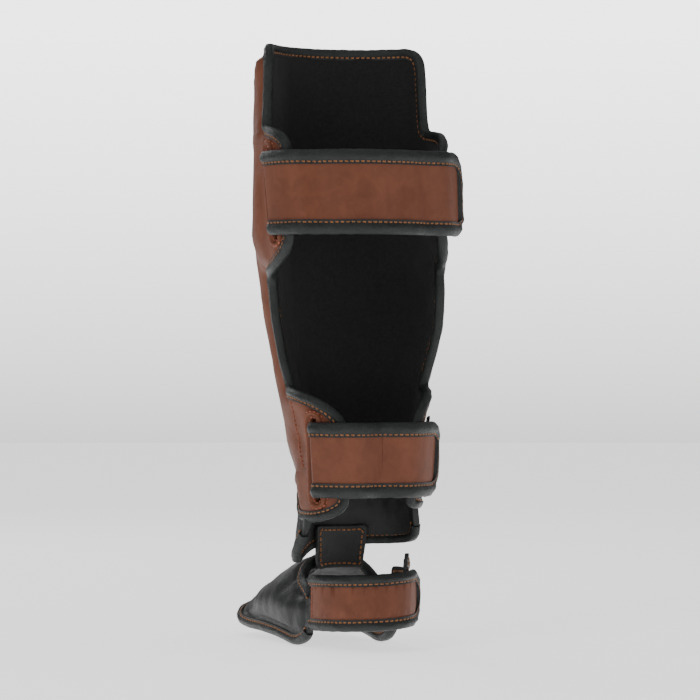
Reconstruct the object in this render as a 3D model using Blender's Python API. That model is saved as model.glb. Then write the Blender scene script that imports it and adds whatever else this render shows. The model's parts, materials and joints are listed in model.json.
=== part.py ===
# Martial arts shin and instep guard, as worn on a standing leg.
# Metres, +Z up. The origin is on the leg's axis at the ankle.
# The toes point along -Y, the straps close behind the leg at +Y.
# A turn angle of 0 degrees is the front of the leg, 90 is its +X side, 180 is behind it.
import math

import bmesh
import bpy
import numpy as np
from mathutils import Vector
from mathutils.geometry import delaunay_2d_cdt

# Mesh steps
PANEL_NET = 0.032
PANEL_STEP = 0.0175
PAD_NET = 0.015
PAD_STEP = 0.0132
SHARPEST = 26.0
SHOULDER_STEP = 0.028
SHOULDER_SHARPEST = 45.0
RIM_SPARE = 0.0006

# Leg hollow
SHIN_HEIGHT = 0.412
CALF_HALF_WIDTH = 0.069
FRONT_DEPTH = 0.061
REAR_DEPTH = 0.064

# Walls and clearances
EDGE_THICK = 0.0046
LINING_THICK = 0.0012
WING_THICK = 0.006
PAD_FRONT_THICK = 0.022
PAD_SIDE_THICK = 0.016
PUFF_LENGTH = 0.013
BINDING_WIDTH = 0.0058
BINDING_THICK = 0.001
GAP = 0.0003
WEB_GAP = 0.0008
CHANNEL_DEPTH = 0.005
CHANNEL_WIDTH = 0.007
CHANNEL_TURNS = (-34.0, 34.0)

# Wings, slots and straps
WING_MARGIN = 0.0155
SLOT_WIDTH = 0.0046
SLOT_SPARE = 0.0032
WELT_RISE = 0.0016
WELT_DISTANCE = 0.0042
WELT_HALF_WIDTH = 0.0022
STRAP_THICK = 0.0025
STRAP_BINDING_WIDTH = 0.0082
STRAP_TURN_RADIUS = 0.003
STRAP_CORNER = 0.015
STRAP_SLOPE = 0.020
UPPER_STRAP_WIDTH = 0.067
LOWER_STRAP_WIDTH = 0.060
LOOP_PATCH_THICK = 0.0012
PATCH_GAP = 0.0007
UNDER_GAP = 0.0021
STRAP_GAP = 0.0005

# Ankle, link and foot
ANKLE_THICK = 0.006
FOLD_RISE = 0.0012
FOLD_COUNT = 26
SEAM_GAP = 0.0022
LINK_WIDTH = 0.050
LINK_THICK = 0.0028
INSTEP_LENGTH = 0.172
INSTEP_HALF_WIDTH = 0.036
INSTEP_HEIGHT = 0.066
INSTEP_THICK = 0.013
HEEL_HALF_WIDTH = 0.0385
HEEL_REAR_DEPTH = 0.054
HEEL_STRAP_WIDTH = 0.045
HEEL_STRAP_MIDDLE = -0.030
HEEL_STRAP_TILT = 0.0035
HEEL_FREE_TURN = 249.0
UNDERLAP_THICK = 0.003
UNDERLAP_TURN = 66.0
UNDERLAP_RISE = 1.75

BROWN = (0.165, 0.065, 0.040, 1.0)
BLACK = (0.030, 0.032, 0.034, 1.0)
DARK = (0.012, 0.012, 0.013, 1.0)

# Sections of the leg hollow: height is a share of SHIN_HEIGHT, width and lean of
# CALF_HALF_WIDTH, front of FRONT_DEPTH, rear of REAR_DEPTH.
SECTION_COLUMNS = ("height", "width", "front", "rear", "lean")
SECTIONS = (
    (-0.08, 0.740, 0.80, 0.66, -0.045),
    (0.00, 0.720, 0.78, 0.66, -0.045),
    (0.10, 0.640, 0.74, 0.66, -0.040),
    (0.20, 0.655, 0.75, 0.69, -0.035),
    (0.26, 0.690, 0.77, 0.73, -0.030),
    (0.33, 0.760, 0.81, 0.79, -0.020),
    (0.40, 0.880, 0.87, 0.86, -0.010),
    (0.48, 0.965, 0.93, 0.93, 0.000),
    (0.60, 0.980, 0.98, 1.00, 0.020),
    (0.80, 1.000, 1.00, 1.00, 0.035),
    (1.00, 0.970, 0.99, 0.97, 0.040),
)

# Side edges of the panel without its wings, turn in degrees on each side.
EDGE_COLUMNS = ("height", "plus_turn", "minus_turn")
PANEL_EDGES = (
    (0.07, 74, 92),
    (0.20, 68, 94),
    (0.36, 64, 96),
    (0.43, 58, 100),
    (0.52, 59, 102),
    (0.60, 66, 101),
    (0.68, 74, 90),
    (0.80, 76, 78),
    (1.00, 75, 76),
)

# Wings: turn reached on each side, margins above and below the strap's slot as
# shares of WING_MARGIN, and rounded corners as shares of SHIN_HEIGHT.
WING_COLUMNS = ("side", "turn", "above", "below", "upper_corner", "lower_corner")
UPPER_WING = dict(zip(WING_COLUMNS, ("plus", 110, 1.05, 1.75, 0.045, 0.080)))
LOWER_WING = dict(zip(WING_COLUMNS, ("plus", 143, 1.45, 1.10, 0.080, 0.040)))
UPPER_ROOT = dict(zip(WING_COLUMNS, ("minus", 126, 1.00, 1.30, 0.060, 0.085)))
LOWER_ROOT = dict(zip(WING_COLUMNS, ("minus", 150, 1.50, 0.95, 0.110, 0.045)))

# Straps: turn of the slot, its slant in degrees per metre, the turn of the free
# end and of the sewn end.
UPPER_STRAP = dict(slot=92.0, slant=-110.0, free=250.0, sewn=258.0, middle=0.708, width=UPPER_STRAP_WIDTH)
LOWER_STRAP = dict(slot=112.0, slant=0.0, free=252.0, sewn=262.0, middle=0.197, width=LOWER_STRAP_WIDTH)

# Lower edge of the brown panel: height is a share of SHIN_HEIGHT.
LOWER_EDGE_COLUMNS = ("turn", "height")
PANEL_LOWER_EDGE = (
    (-180, 0.105),
    (-92, 0.105),
    (-60, 0.125),
    (0, 0.155),
    (50, 0.140),
    (64, 0.100),
    (74, 0.080),
    (180, 0.080),
)

# Lower outline of the ankle section, from the -X rear edge to the +X rear edge.
ANKLE_LOWER_EDGE = (
    (-96, 0.085),
    (-95, 0.056),
    (-90, 0.040),
    (-80, 0.034),
    (-55, 0.030),
    (-30, 0.028),
    (0, 0.030),
    (30, 0.022),
    (48, 0.002),
    (58, -0.006),
    (68, -0.003),
    (76, 0.012),
    (84, 0.036),
    (93, 0.060),
    (99, 0.072),
)

# Soft link between ankle and instep: height and drop of its sides are shares of
# SHIN_HEIGHT, width of LINK_WIDTH. Below them its rows along the foot, as shares
# of INSTEP_LENGTH.
LINK_COLUMNS = ("height", "width", "drop")
LINK_ROWS = (
    (0.062, 1.00, 0.0),
    (0.042, 1.00, 0.0),
    (0.022, 0.98, 0.0),
    (0.002, 0.94, 0.0),
    (-0.020, 0.90, 0.002),
)
LINK_FOOT_ROWS = (0.345, 0.385, 0.425)

# Outline of the instep pad, from the top to one side: across is a share of the
# arch's half girth, along a share of INSTEP_LENGTH.
INSTEP_OUTLINE_COLUMNS = ("across", "along")
INSTEP_HALF_OUTLINE = (
    (0.00, 0.300),
    (0.20, 0.295),
    (0.34, 0.275),
    (0.42, 0.235),
    (0.48, 0.160),
    (0.54, 0.100),
    (0.62, 0.076),
    (0.80, 0.072),
    (0.90, 0.090),
    (0.97, 0.160),
    (1.00, 0.250),
    (1.00, 0.420),
    (1.00, 0.600),
    (0.97, 0.760),
    (0.90, 0.880),
    (0.74, 0.950),
    (0.48, 0.985),
    (0.25, 0.995),
    (0.00, 1.000),
)

# Foot arch sections: along is a share of INSTEP_LENGTH, width of
# INSTEP_HALF_WIDTH, top and side of INSTEP_HEIGHT below the ankle.
FOOT_COLUMNS = ("along", "width", "top", "side")
FOOT_SECTIONS = (
    (0.00, 0.96, -0.16, 1.04),
    (0.25, 0.98, 0.00, 1.05),
    (0.45, 1.02, 0.22, 0.96),
    (0.62, 1.05, 0.42, 0.93),
    (0.80, 1.06, 0.60, 0.95),
    (1.00, 1.02, 0.74, 0.97),
)
ARCH_POWER = 2.8


def column(rows, columns, name):
    place = columns.index(name)
    return np.array([row[place] for row in rows], dtype=float)


def follow(x, xs, ys):
    """Smooth curve through the rows of a table, without overshoot."""
    x = np.asarray(x, dtype=float)
    step = np.diff(xs)
    slope = np.diff(ys) / step
    tangent = np.zeros(len(xs))
    tangent[0] = slope[0]
    tangent[-1] = slope[-1]
    for i in range(1, len(xs) - 1):
        if slope[i - 1] * slope[i] > 0:
            tangent[i] = 2.0 * slope[i - 1] * slope[i] / (slope[i - 1] + slope[i])
    x = np.clip(x, xs[0], xs[-1])
    i = np.clip(np.searchsorted(xs, x) - 1, 0, len(step) - 1)
    h = step[i]
    s = (x - xs[i]) / h
    return (
        ys[i] * (1 + 2 * s) * (1 - s) ** 2
        + tangent[i] * h * s * (1 - s) ** 2
        + ys[i + 1] * s * s * (3 - 2 * s)
        + tangent[i + 1] * h * s * s * (s - 1)
    )


def section(height, name):
    xs = column(SECTIONS, SECTION_COLUMNS, "height")
    ys = column(SECTIONS, SECTION_COLUMNS, name)
    return follow(np.asarray(height) / SHIN_HEIGHT, xs, ys)


def leg_radius(height):
    """Length of arc per radian of turn, used as the flat pattern's scale."""
    return section(height, "width") * CALF_HALF_WIDTH


def leg_point(turn, height, offset):
    """Point on the leg hollow's wall, moved outwards by offset."""
    angle = math.radians(turn)
    width = float(section(height, "width")) * CALF_HALF_WIDTH
    if math.cos(angle) > 0:
        depth = float(section(height, "front")) * FRONT_DEPTH
    else:
        depth = float(section(height, "rear")) * REAR_DEPTH
    normal = Vector((math.sin(angle) / width, -math.cos(angle) / depth, 0.0)).normalized()
    middle = float(section(height, "lean")) * CALF_HALF_WIDTH
    return Vector((middle + width * math.sin(angle), -depth * math.cos(angle), height)) + normal * float(offset)


def pattern_to_leg(across, height, offset):
    """Map the panel's flat pattern, arc length by height, onto the leg."""
    turn = math.degrees(across / float(leg_radius(height)))
    return leg_point(turn, height, offset)


def heel_point(turn, height, offset):
    angle = math.radians(turn)
    normal = Vector((math.sin(angle) / HEEL_HALF_WIDTH, -math.cos(angle) / HEEL_REAR_DEPTH, 0.0)).normalized()
    middle = float(section(0.0, "lean")) * CALF_HALF_WIDTH
    base = Vector((middle + HEEL_HALF_WIDTH * math.sin(angle), -HEEL_REAR_DEPTH * math.cos(angle), height))
    return base + normal * float(offset)


def foot_value(along, name):
    xs = column(FOOT_SECTIONS, FOOT_COLUMNS, "along")
    ys = column(FOOT_SECTIONS, FOOT_COLUMNS, name)
    return float(follow(along / INSTEP_LENGTH, xs, ys))


def arch(along):
    """Half section of the foot's arch: girth so far, x, z and outward direction."""
    width = foot_value(along, "width") * INSTEP_HALF_WIDTH
    top = -foot_value(along, "top") * INSTEP_HEIGHT
    side = -foot_value(along, "side") * INSTEP_HEIGHT
    angle = np.linspace(0.0, math.pi / 2, 49)
    reach = (np.sin(angle) ** ARCH_POWER + np.cos(angle) ** ARCH_POWER) ** (-1.0 / ARCH_POWER)
    x = width * reach * np.sin(angle)
    z = side + (top - side) * reach * np.cos(angle)
    girth = np.concatenate([[0.0], np.cumsum(np.hypot(np.diff(x), np.diff(z)))])
    out_x = -np.gradient(z, girth)
    out_z = np.gradient(x, girth)
    out_x[0] = 0.0
    out_z[-1] = 0.0
    return girth, x, z, out_x, out_z


def half_girth(along):
    return arch(along)[0][-1]


def pattern_to_foot(across, along, offset):
    """Map the instep pad's flat pattern onto the arch of the foot."""
    girth, x, z, out_x, out_z = arch(along)
    beyond = max(abs(across) - girth[-1], 0.0)
    way = math.copysign(1.0, across)
    normal = Vector((way * np.interp(abs(across), girth, out_x), 0.0, np.interp(abs(across), girth, out_z)))
    middle = float(section(0.0, "lean")) * CALF_HALF_WIDTH
    base = Vector((middle + way * np.interp(abs(across), girth, x), -along, np.interp(abs(across), girth, z) - beyond))
    return base + normal.normalized() * float(offset)


# Flat patterns

def corner(length, radius):
    """Quarter round: 0 at the corner's end, 1 past its radius."""
    s = np.clip(length / radius, 0.0, 1.0)
    return np.sqrt(np.clip(1.0 - (1.0 - s) ** 2, 0.0, 1.0))


def wing_reach(height, wing, strap):
    """Share of the wing's reach at a height, rounded at its two corners."""
    slot = strap["width"] / 2 + SLOT_SPARE
    middle = strap["middle"] * SHIN_HEIGHT
    above = middle + slot + wing["above"] * WING_MARGIN - height
    below = height - middle + slot + wing["below"] * WING_MARGIN
    upper = corner(above, wing["upper_corner"] * SHIN_HEIGHT)
    lower = corner(below, wing["lower_corner"] * SHIN_HEIGHT)
    return upper * lower


def edge_turn(height, side):
    """Turn of the panel's side edge at a height, wings included."""
    xs = column(PANEL_EDGES, EDGE_COLUMNS, "height")
    turn = follow(height / SHIN_HEIGHT, xs, column(PANEL_EDGES, EDGE_COLUMNS, side + "_turn"))
    pairs = ((UPPER_WING, UPPER_STRAP), (LOWER_WING, LOWER_STRAP), (UPPER_ROOT, UPPER_STRAP), (LOWER_ROOT, LOWER_STRAP))
    for wing, strap in pairs:
        if wing["side"] == side:
            turn = turn + (wing["turn"] - turn) * wing_reach(height, wing, strap)
    return turn


def lower_edge(turn):
    xs = column(PANEL_LOWER_EDGE, LOWER_EDGE_COLUMNS, "turn")
    ys = column(PANEL_LOWER_EDGE, LOWER_EDGE_COLUMNS, "height")
    return follow(turn, xs, ys) * SHIN_HEIGHT


def flatten(turn, height):
    return np.stack([np.radians(turn) * leg_radius(height), height], axis=-1)


def panel_outline():
    """Closed border of the shin panel in its flat pattern, anticlockwise."""
    corner_size = 0.04
    plus_low = lower_edge(90.0)
    minus_low = lower_edge(-120.0)
    heights = np.linspace(0.0, 1.0, 500)
    plus_z = plus_low + (SHIN_HEIGHT - plus_low) * heights
    minus_z = minus_low + (SHIN_HEIGHT - minus_low) * heights
    top_round = 1.0 - 0.16 * (1.0 - corner(SHIN_HEIGHT - plus_z, corner_size * SHIN_HEIGHT))
    plus = flatten(edge_turn(plus_z, "plus") * top_round, plus_z)
    top_round = 1.0 - 0.16 * (1.0 - corner(SHIN_HEIGHT - minus_z, corner_size * SHIN_HEIGHT))
    minus = flatten(-edge_turn(minus_z, "minus") * top_round, minus_z)
    turns = np.linspace(-float(edge_turn(minus_low, "minus")), float(edge_turn(plus_low, "plus")), 200)
    bottom = flatten(turns, lower_edge(turns))
    return np.concatenate([bottom, plus, minus[::-1]])


def spread(points, longest, sharpest, closed=True):
    """Re-space a dense line: longest is the step on straights, sharpest the turn per step."""
    line = np.vstack([points, points[:1]]) if closed else np.asarray(points)
    keep = np.concatenate([[True], np.linalg.norm(np.diff(line, axis=0), axis=1) > 1e-6])
    line = line[keep]
    step = np.diff(line, axis=0)
    length = np.linalg.norm(step, axis=1)
    bearing = np.unwrap(np.arctan2(step[:, 1], step[:, 0]))
    bend = np.abs(np.diff(bearing, prepend=bearing[:1]))
    effort = np.concatenate([[0.0], np.cumsum(length / longest + bend / math.radians(sharpest))])
    count = int(round(effort[-1]))
    wanted = np.linspace(0.0, effort[-1], count + 1)
    if closed:
        wanted = wanted[:-1]
    return np.stack([np.interp(wanted, effort, line[:, k]) for k in range(2)], axis=-1)


def soften(points, passes, closed=True):
    """Round the sharp corners of a line by averaging neighbours."""
    line = np.array(points)
    for _ in range(passes):
        if closed:
            line = 0.25 * np.roll(line, 1, 0) + 0.5 * line + 0.25 * np.roll(line, -1, 0)
        else:
            line[1:-1] = 0.25 * line[:-2] + 0.5 * line[1:-1] + 0.25 * line[2:]
    return line


def inward(points, closed=True):
    """Unit directions to the left of the line, the inside of an anticlockwise border."""
    if closed:
        ahead = np.roll(points, -1, 0) - np.roll(points, 1, 0)
    else:
        ahead = np.gradient(points, axis=0)
    ahead = ahead / np.linalg.norm(ahead, axis=1)[:, None]
    return np.stack([-ahead[:, 1], ahead[:, 0]], axis=-1)


def border_distance(points, border):
    """Distance of each point from a closed line."""
    start = border
    side = np.roll(border, -1, 0) - border
    best = np.full(len(points), 1e9)
    for a, ab in zip(start, side):
        ap = points - a
        s = np.clip(ap @ ab / (ab @ ab), 0.0, 1.0)
        best = np.minimum(best, np.linalg.norm(ap - s[:, None] * ab, axis=1))
    return best


def inside(points, border):
    """Even-odd test of points against a closed line."""
    x = points[:, 0]
    y = points[:, 1]
    result = np.zeros(len(points), dtype=bool)
    for a, b in zip(border, np.roll(border, -1, 0)):
        crosses = (a[1] > y) != (b[1] > y)
        if a[1] != b[1]:
            reach = a[0] + (y - a[1]) * (b[0] - a[0]) / (b[1] - a[1])
            result ^= crosses & (x < reach)
    return result


# Solids

def finish_solid(name, verts, faces, colour, roughness):
    mesh = bpy.data.meshes.new(name)
    work = bmesh.new()
    made = [work.verts.new(co) for co in verts]
    for face in faces:
        work.faces.new([made[i] for i in face])
    bmesh.ops.recalc_face_normals(work, faces=work.faces)
    if work.calc_volume(signed=True) < 0:
        bmesh.ops.reverse_faces(work, faces=work.faces)
    work.to_mesh(mesh)
    work.free()
    mesh.shade_smooth()
    mesh.set_sharp_from_angle(angle=math.radians(50))
    mesh.materials.append(finish(name, colour, roughness))
    piece = bpy.data.objects.new(name, mesh)
    bpy.context.scene.collection.objects.link(piece)
    return piece


def finish(name, colour, roughness):
    material = bpy.data.materials.new(name)
    material.use_nodes = True
    shader = material.node_tree.nodes["Principled BSDF"]
    shader.inputs["Base Color"].default_value = colour
    shader.inputs["Roughness"].default_value = roughness
    shader.inputs["Metallic"].default_value = 0.0
    return material


def pattern_triangles(border, holes, rings, spacing):
    """Triangles of a flat pattern, with a net of inner points clear of its borders."""
    low = border.min(axis=0)
    high = border.max(axis=0)
    xs = np.arange(low[0] + spacing / 2, high[0], spacing)
    ys = np.arange(low[1] + spacing / 2, high[1], spacing)
    net = np.array([(x + (row % 2) * spacing / 2, y) for row, y in enumerate(ys) for x in xs])
    net = net[inside(net, border)]
    for line in [border] + holes + rings:
        net = net[border_distance(net, line) > spacing * 0.45]
    for hole in holes:
        net = net[~inside(net, hole)]
    points = []
    edges = []
    for line in [border] + holes + rings:
        first = len(points)
        points.extend(line.tolist())
        edges.extend((first + i, first + (i + 1) % len(line)) for i in range(len(line)))
    points.extend(net.tolist())
    out = delaunay_2d_cdt([Vector(p) for p in points], edges, [], 0, 1e-6, False)
    flat = np.array([tuple(p) for p in out[0]])
    triangles = np.array(out[2])
    centres = flat[triangles].mean(axis=1)
    keep = inside(centres, border)
    for hole in holes:
        keep &= ~inside(centres, hole)
    triangles = triangles[keep]
    used = np.unique(triangles)
    index = np.full(len(flat), -1)
    index[used] = np.arange(len(used))
    return flat[used], index[triangles]


def padded_sheet(name, net, place, low, high, colour, roughness):
    """Solid between two offsets of a flat pattern, low and high being functions of its points."""
    flat, triangles = net
    bottom = low(flat)
    top = high(flat)
    verts = [place(a, b, h) for (a, b), h in zip(flat, top)]
    verts += [place(a, b, h) for (a, b), h in zip(flat, bottom)]
    count = len(flat)
    faces = [tuple(t) for t in triangles]
    faces += [tuple(t[::-1] + count) for t in triangles]
    seen = {}
    for t in triangles:
        for i in range(3):
            edge = (t[i], t[(i + 1) % 3])
            seen[edge] = True
    for a, b in seen:
        if (b, a) not in seen:
            faces.append((b, a, a + count, b + count))
    return finish_solid(name, verts, faces, colour, roughness)


def edge_strip(name, line, profile, place, colour, roughness, closed=True):
    """Sweep a profile of (inward, height) points along a flat line and place it."""
    directions = inward(line, closed)
    count = len(profile)
    verts = []
    for point, direction in zip(line, directions):
        for depth, height in profile:
            a, b = point + depth * direction
            verts.append(place(a, b, height))
    faces = []
    stations = len(line)
    last = stations if closed else stations - 1
    for i in range(last):
        j = (i + 1) % stations
        for k in range(count):
            m = (k + 1) % count
            faces.append((i * count + k, i * count + m, j * count + m, j * count + k))
    if not closed:
        faces.append(tuple(range(count)))
        faces.append(tuple((stations - 1) * count + k for k in range(count))[::-1])
    return finish_solid(name, verts, faces, colour, roughness)


def binding_profile(low, high, width):
    """U shape that wraps an edge lying between the heights low and high."""
    outer = -WEB_GAP - BINDING_THICK
    return (
        (width, high + GAP),
        (width, high + GAP + BINDING_THICK),
        (outer, high + GAP + BINDING_THICK * 0.4),
        (outer, low - GAP - BINDING_THICK * 0.4),
        (width, low - GAP - BINDING_THICK),
        (width, low - GAP),
        (-WEB_GAP, low - GAP),
        (-WEB_GAP, high + GAP),
    )


# Shin panel

def pattern_turn(flat):
    return np.degrees(flat[:, 0] / leg_radius(flat[:, 1]))


def slot_turn(strap, height):
    return strap["slot"] + strap["slant"] * (height - strap["middle"] * SHIN_HEIGHT)


def slot_outline(strap, grow=0.0):
    """Closed outline of a strap slot with round ends, anticlockwise."""
    half = strap["width"] / 2 + SLOT_SPARE + grow
    radius = SLOT_WIDTH / 2 + grow
    middle = strap["middle"] * SHIN_HEIGHT
    straight = half - radius
    points = []
    for a in np.linspace(0, math.pi, 5):
        points.append((radius * math.cos(a), straight + radius * math.sin(a)))
    for s in np.linspace(straight, -straight, 6)[1:-1]:
        points.append((-radius, s))
    for a in np.linspace(math.pi, 2 * math.pi, 5):
        points.append((radius * math.cos(a), -straight + radius * math.sin(a)))
    for s in np.linspace(-straight, straight, 6)[1:-1]:
        points.append((radius, s))
    outline = []
    for x, y in points:
        height = middle + y
        base = math.radians(slot_turn(strap, height)) * float(leg_radius(height))
        outline.append((base + x, height))
    return np.array(outline)


def body_thickness(turn, height):
    """Thickness of the padding away from the edges."""
    away = np.abs(turn)
    slim = follow(height / SHIN_HEIGHT, np.array([0.1, 0.3, 0.5]), np.array([0.70, 0.76, 1.0]))
    rows = np.array([0.0, 26.0, 45.0, 68.0, 76.0, 80.0, 84.0, 180.0])
    front = PAD_FRONT_THICK * (0.5 + 0.5 * slim)
    side = PAD_SIDE_THICK * slim
    near = np.interp(away, rows, [1.0, 0.97, 0.75, 0.0, 0.0, 0.0, 0.0, 0.0])
    wing = np.interp(away, rows, [0.0, 0.0, 0.0, 0.0, 0.35, 1.0, 1.0, 1.0])
    thick = side + (front - side) * near
    return thick + (WING_THICK - thick) * wing


def panel_thickness(flat, border, holes):
    turn = pattern_turn(flat)
    height = flat[:, 1]
    distance = border_distance(flat, border)
    full = body_thickness(turn, height)
    for middle in CHANNEL_TURNS:
        away = np.abs(np.radians(turn - middle) * leg_radius(height))
        full = full - CHANNEL_DEPTH * np.clip(1.0 - away / CHANNEL_WIDTH, 0.0, 1.0)
    ramp = np.clip((distance - BINDING_WIDTH - 0.0008) / PUFF_LENGTH, 0.0, 1.0)
    thick = EDGE_THICK + (full - EDGE_THICK) * np.sin(ramp * math.pi / 2)
    for hole in holes:
        distance = border_distance(flat, hole)
        thick = thick + WELT_RISE * np.clip(1.0 - np.abs(distance - WELT_DISTANCE) / WELT_HALF_WIDTH, 0.0, 1.0)
    return thick


def build_panel(border):
    holes = [slot_outline(UPPER_STRAP), slot_outline(LOWER_STRAP)]
    directions = inward(border)
    rim = border + directions * (BINDING_WIDTH + RIM_SPARE)
    shoulder = border + directions * (BINDING_WIDTH + RIM_SPARE + PUFF_LENGTH * 0.45)
    shoulder = spread(shoulder, SHOULDER_STEP, SHOULDER_SHARPEST)
    rings = [rim, shoulder]
    for strap in (UPPER_STRAP, LOWER_STRAP):
        for grow in (WELT_DISTANCE, WELT_DISTANCE + WELT_HALF_WIDTH):
            rings.append(slot_outline(strap, grow))
    rings += channel_lines()
    net = pattern_triangles(border, holes, rings, PANEL_NET)
    padded_sheet(
        "shin_panel", net, pattern_to_leg,
        lambda flat: np.full(len(flat), LINING_THICK + GAP),
        lambda flat: panel_thickness(flat, border, holes), BROWN, 0.45)
    padded_sheet(
        "shin_lining", net, pattern_to_leg,
        lambda flat: np.zeros(len(flat)),
        lambda flat: np.full(len(flat), LINING_THICK), DARK, 0.8)
    edge_strip(
        "shin_binding", border, binding_profile(-GAP, EDGE_THICK + GAP, BINDING_WIDTH),
        pattern_to_leg, BLACK, 0.5)


def channel_lines():
    """Narrow loops that keep the sewn channels of the front sharp."""
    loops = []
    heights = np.linspace(0.26 * SHIN_HEIGHT, 0.93 * SHIN_HEIGHT, 6)
    for middle in CHANNEL_TURNS:
        centre = np.radians(middle) * leg_radius(heights)
        for side in (-CHANNEL_WIDTH, 0.0, CHANNEL_WIDTH):
            line = np.stack([centre + side, heights], axis=-1)
            loops.append(np.concatenate([line, line[-2:0:-1]]))
    return loops


# Ankle section below the panel

def ankle_outline(panel_border):
    """Lower outline of the ankle section and its closed border."""
    turns = column(ANKLE_LOWER_EDGE, LOWER_EDGE_COLUMNS, "turn")
    heights = column(ANKLE_LOWER_EDGE, LOWER_EDGE_COLUMNS, "height") * SHIN_HEIGHT
    directions = inward(panel_border)
    seam = panel_border - directions * SEAM_GAP
    seam_turns = pattern_turn(seam)
    low = directions[:, 1] > 0.3
    low &= panel_border[:, 1] < 0.2 * SHIN_HEIGHT
    low &= (seam_turns > turns[0] + 1) & (seam_turns < turns[-1] - 1)
    upper = seam[low]
    upper = upper[np.argsort(-upper[:, 0])]
    lower = flatten(turns, heights)
    lower = spread(soften(spread(lower, 0.002, 360, False), 24, False), PAD_STEP, SHARPEST, False)
    return lower, np.concatenate([lower, upper])


def ankle_thickness(flat, border, lower):
    distance = border_distance(flat, border)
    ramp = np.clip((distance - BINDING_WIDTH - 0.0008) / PUFF_LENGTH, 0.0, 1.0)
    folds = FOLD_RISE * np.cos(np.radians(pattern_turn(flat)) * FOLD_COUNT)
    full = ANKLE_THICK + folds
    return EDGE_THICK + (full - EDGE_THICK) * np.sin(ramp * math.pi / 2)


def build_ankle(panel_border):
    lower, border = ankle_outline(panel_border)
    rim = lower + inward(lower, False) * (BINDING_WIDTH + RIM_SPARE)
    rim = rim[2:-2]
    net = pattern_triangles(border, [], [np.concatenate([rim, rim[-2:0:-1]])], PAD_NET)
    padded_sheet(
        "ankle_guard", net, pattern_to_leg,
        lambda flat: np.zeros(len(flat)),
        lambda flat: ankle_thickness(flat, border, lower), BLACK, 0.5)
    edge_strip(
        "ankle_binding", lower[1:-1], binding_profile(0.0, EDGE_THICK, BINDING_WIDTH),
        pattern_to_leg, BLACK, 0.5, closed=False)


# Straps through the slots

def ease(x, start, end):
    s = np.clip((x - start) / (end - start), 0.0, 1.0)
    return s * s * (3.0 - 2.0 * s)


def strap_levels():
    """Offsets of the strap's middle under the wing, over the wing and over itself."""
    lip = STRAP_GAP + BINDING_THICK
    under = -lip - UNDER_GAP - STRAP_THICK / 2
    doubled = under + STRAP_THICK + PATCH_GAP + lip
    over = WING_THICK + WELT_RISE + GAP + lip + STRAP_THICK / 2
    far = WING_THICK + PATCH_GAP + LOOP_PATCH_THICK + GAP + lip + STRAP_THICK / 2
    return under, doubled, over, far


def strap_path(strap, wing, root):
    """Middle line of a strap seen from above: arc length from the slot, and offset."""
    under, doubled, over, far = strap_levels()
    middle = strap["middle"] * SHIN_HEIGHT
    heights = middle + np.linspace(-0.5, 0.5, 9) * strap["width"]
    radius = float(leg_radius(middle))
    slots = slot_turn(strap, heights)
    clear = BINDING_THICK + WEB_GAP + STRAP_THICK + 0.001
    wing_end = float(np.max(np.radians(wing["turn"] - slots) * radius)) + clear
    root_end = float(np.min(np.radians(360.0 - root["turn"] - slots) * radius)) - clear
    scale = float(leg_radius(middle)) * math.pi / 180.0
    sewn = (strap["sewn"] - strap["slot"]) * scale
    free = (strap["free"] - strap["slot"]) * scale
    turn = STRAP_TURN_RADIUS
    slope = STRAP_SLOPE
    marks = np.unique(np.concatenate([
        np.linspace(turn, wing_end, 3)[1:],
        np.linspace(wing_end, wing_end + slope, 4),
        np.linspace(wing_end + slope, root_end - slope, 7),
        np.linspace(root_end - slope, root_end, 4),
        np.linspace(root_end, free - STRAP_CORNER, 3),
        free - STRAP_CORNER + STRAP_CORNER * np.sin(np.linspace(0, math.pi / 2, 5)),
    ]))
    inner = np.append(marks[marks < root_end + 0.001], sewn)
    points = [(q, under) for q in inner[::-1]]
    for a in np.linspace(0.0, math.pi / 2, 4):
        points.append((turn - turn * math.sin(a), under + turn - turn * math.cos(a)))
    for a in np.linspace(math.pi / 2, 0.0, 4):
        points.append((turn - turn * math.sin(a), over - turn + turn * math.cos(a)))
    first = len(points) - 1
    for q in marks:
        height = over + (doubled - over) * ease(q, wing_end, wing_end + slope)
        height = height + (far - doubled) * ease(q, root_end - slope, root_end)
        points.append((q, float(height)))
    return np.array(points), first


def strap_place(strap, path):
    """Map length along a strap, width and thickness onto the leg, straight across."""
    middle = strap["middle"] * SHIN_HEIGHT
    half = strap["width"] / 2
    scale = float(leg_radius(middle))
    ahead = path[-1] - path[-2]
    beyond = path[-1] + ahead / np.linalg.norm(ahead) * STRAP_CORNER
    path = np.vstack([path, beyond])
    run = np.concatenate([[0.0], np.cumsum(np.linalg.norm(np.diff(path, axis=0), axis=1))])
    ahead = np.gradient(path, run, axis=0)
    ahead = ahead / np.linalg.norm(ahead, axis=1)[:, None]

    def edge(along, across, thick):
        q = np.interp(along, run, path[:, 0]) - thick * np.interp(along, run, ahead[:, 1])
        offset = np.interp(along, run, path[:, 1]) + thick * np.interp(along, run, ahead[:, 0])
        height = middle + across
        turn = slot_turn(strap, height) + math.degrees(q / scale)
        return leg_point(turn, height, offset)

    def place(along, across, thick):
        low = edge(along, -half, thick)
        high = edge(along, half, thick)
        return low.lerp(high, 0.5 + 0.5 * float(across) / half)

    return place, run[:-1]


def end_half_width(along, length, half, radius):
    """Half width of a band whose end at length has round corners."""
    past = np.clip((along - (length - radius)) / radius, 0.0, 1.0)
    return half - radius + radius * np.sqrt(np.clip(1.0 - past * past, 0.0, 1.0))


def lip_share(halves):
    """Share of a band's half width that its binding leaves free."""
    return 1.0 - STRAP_BINDING_WIDTH / max(halves)


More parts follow.
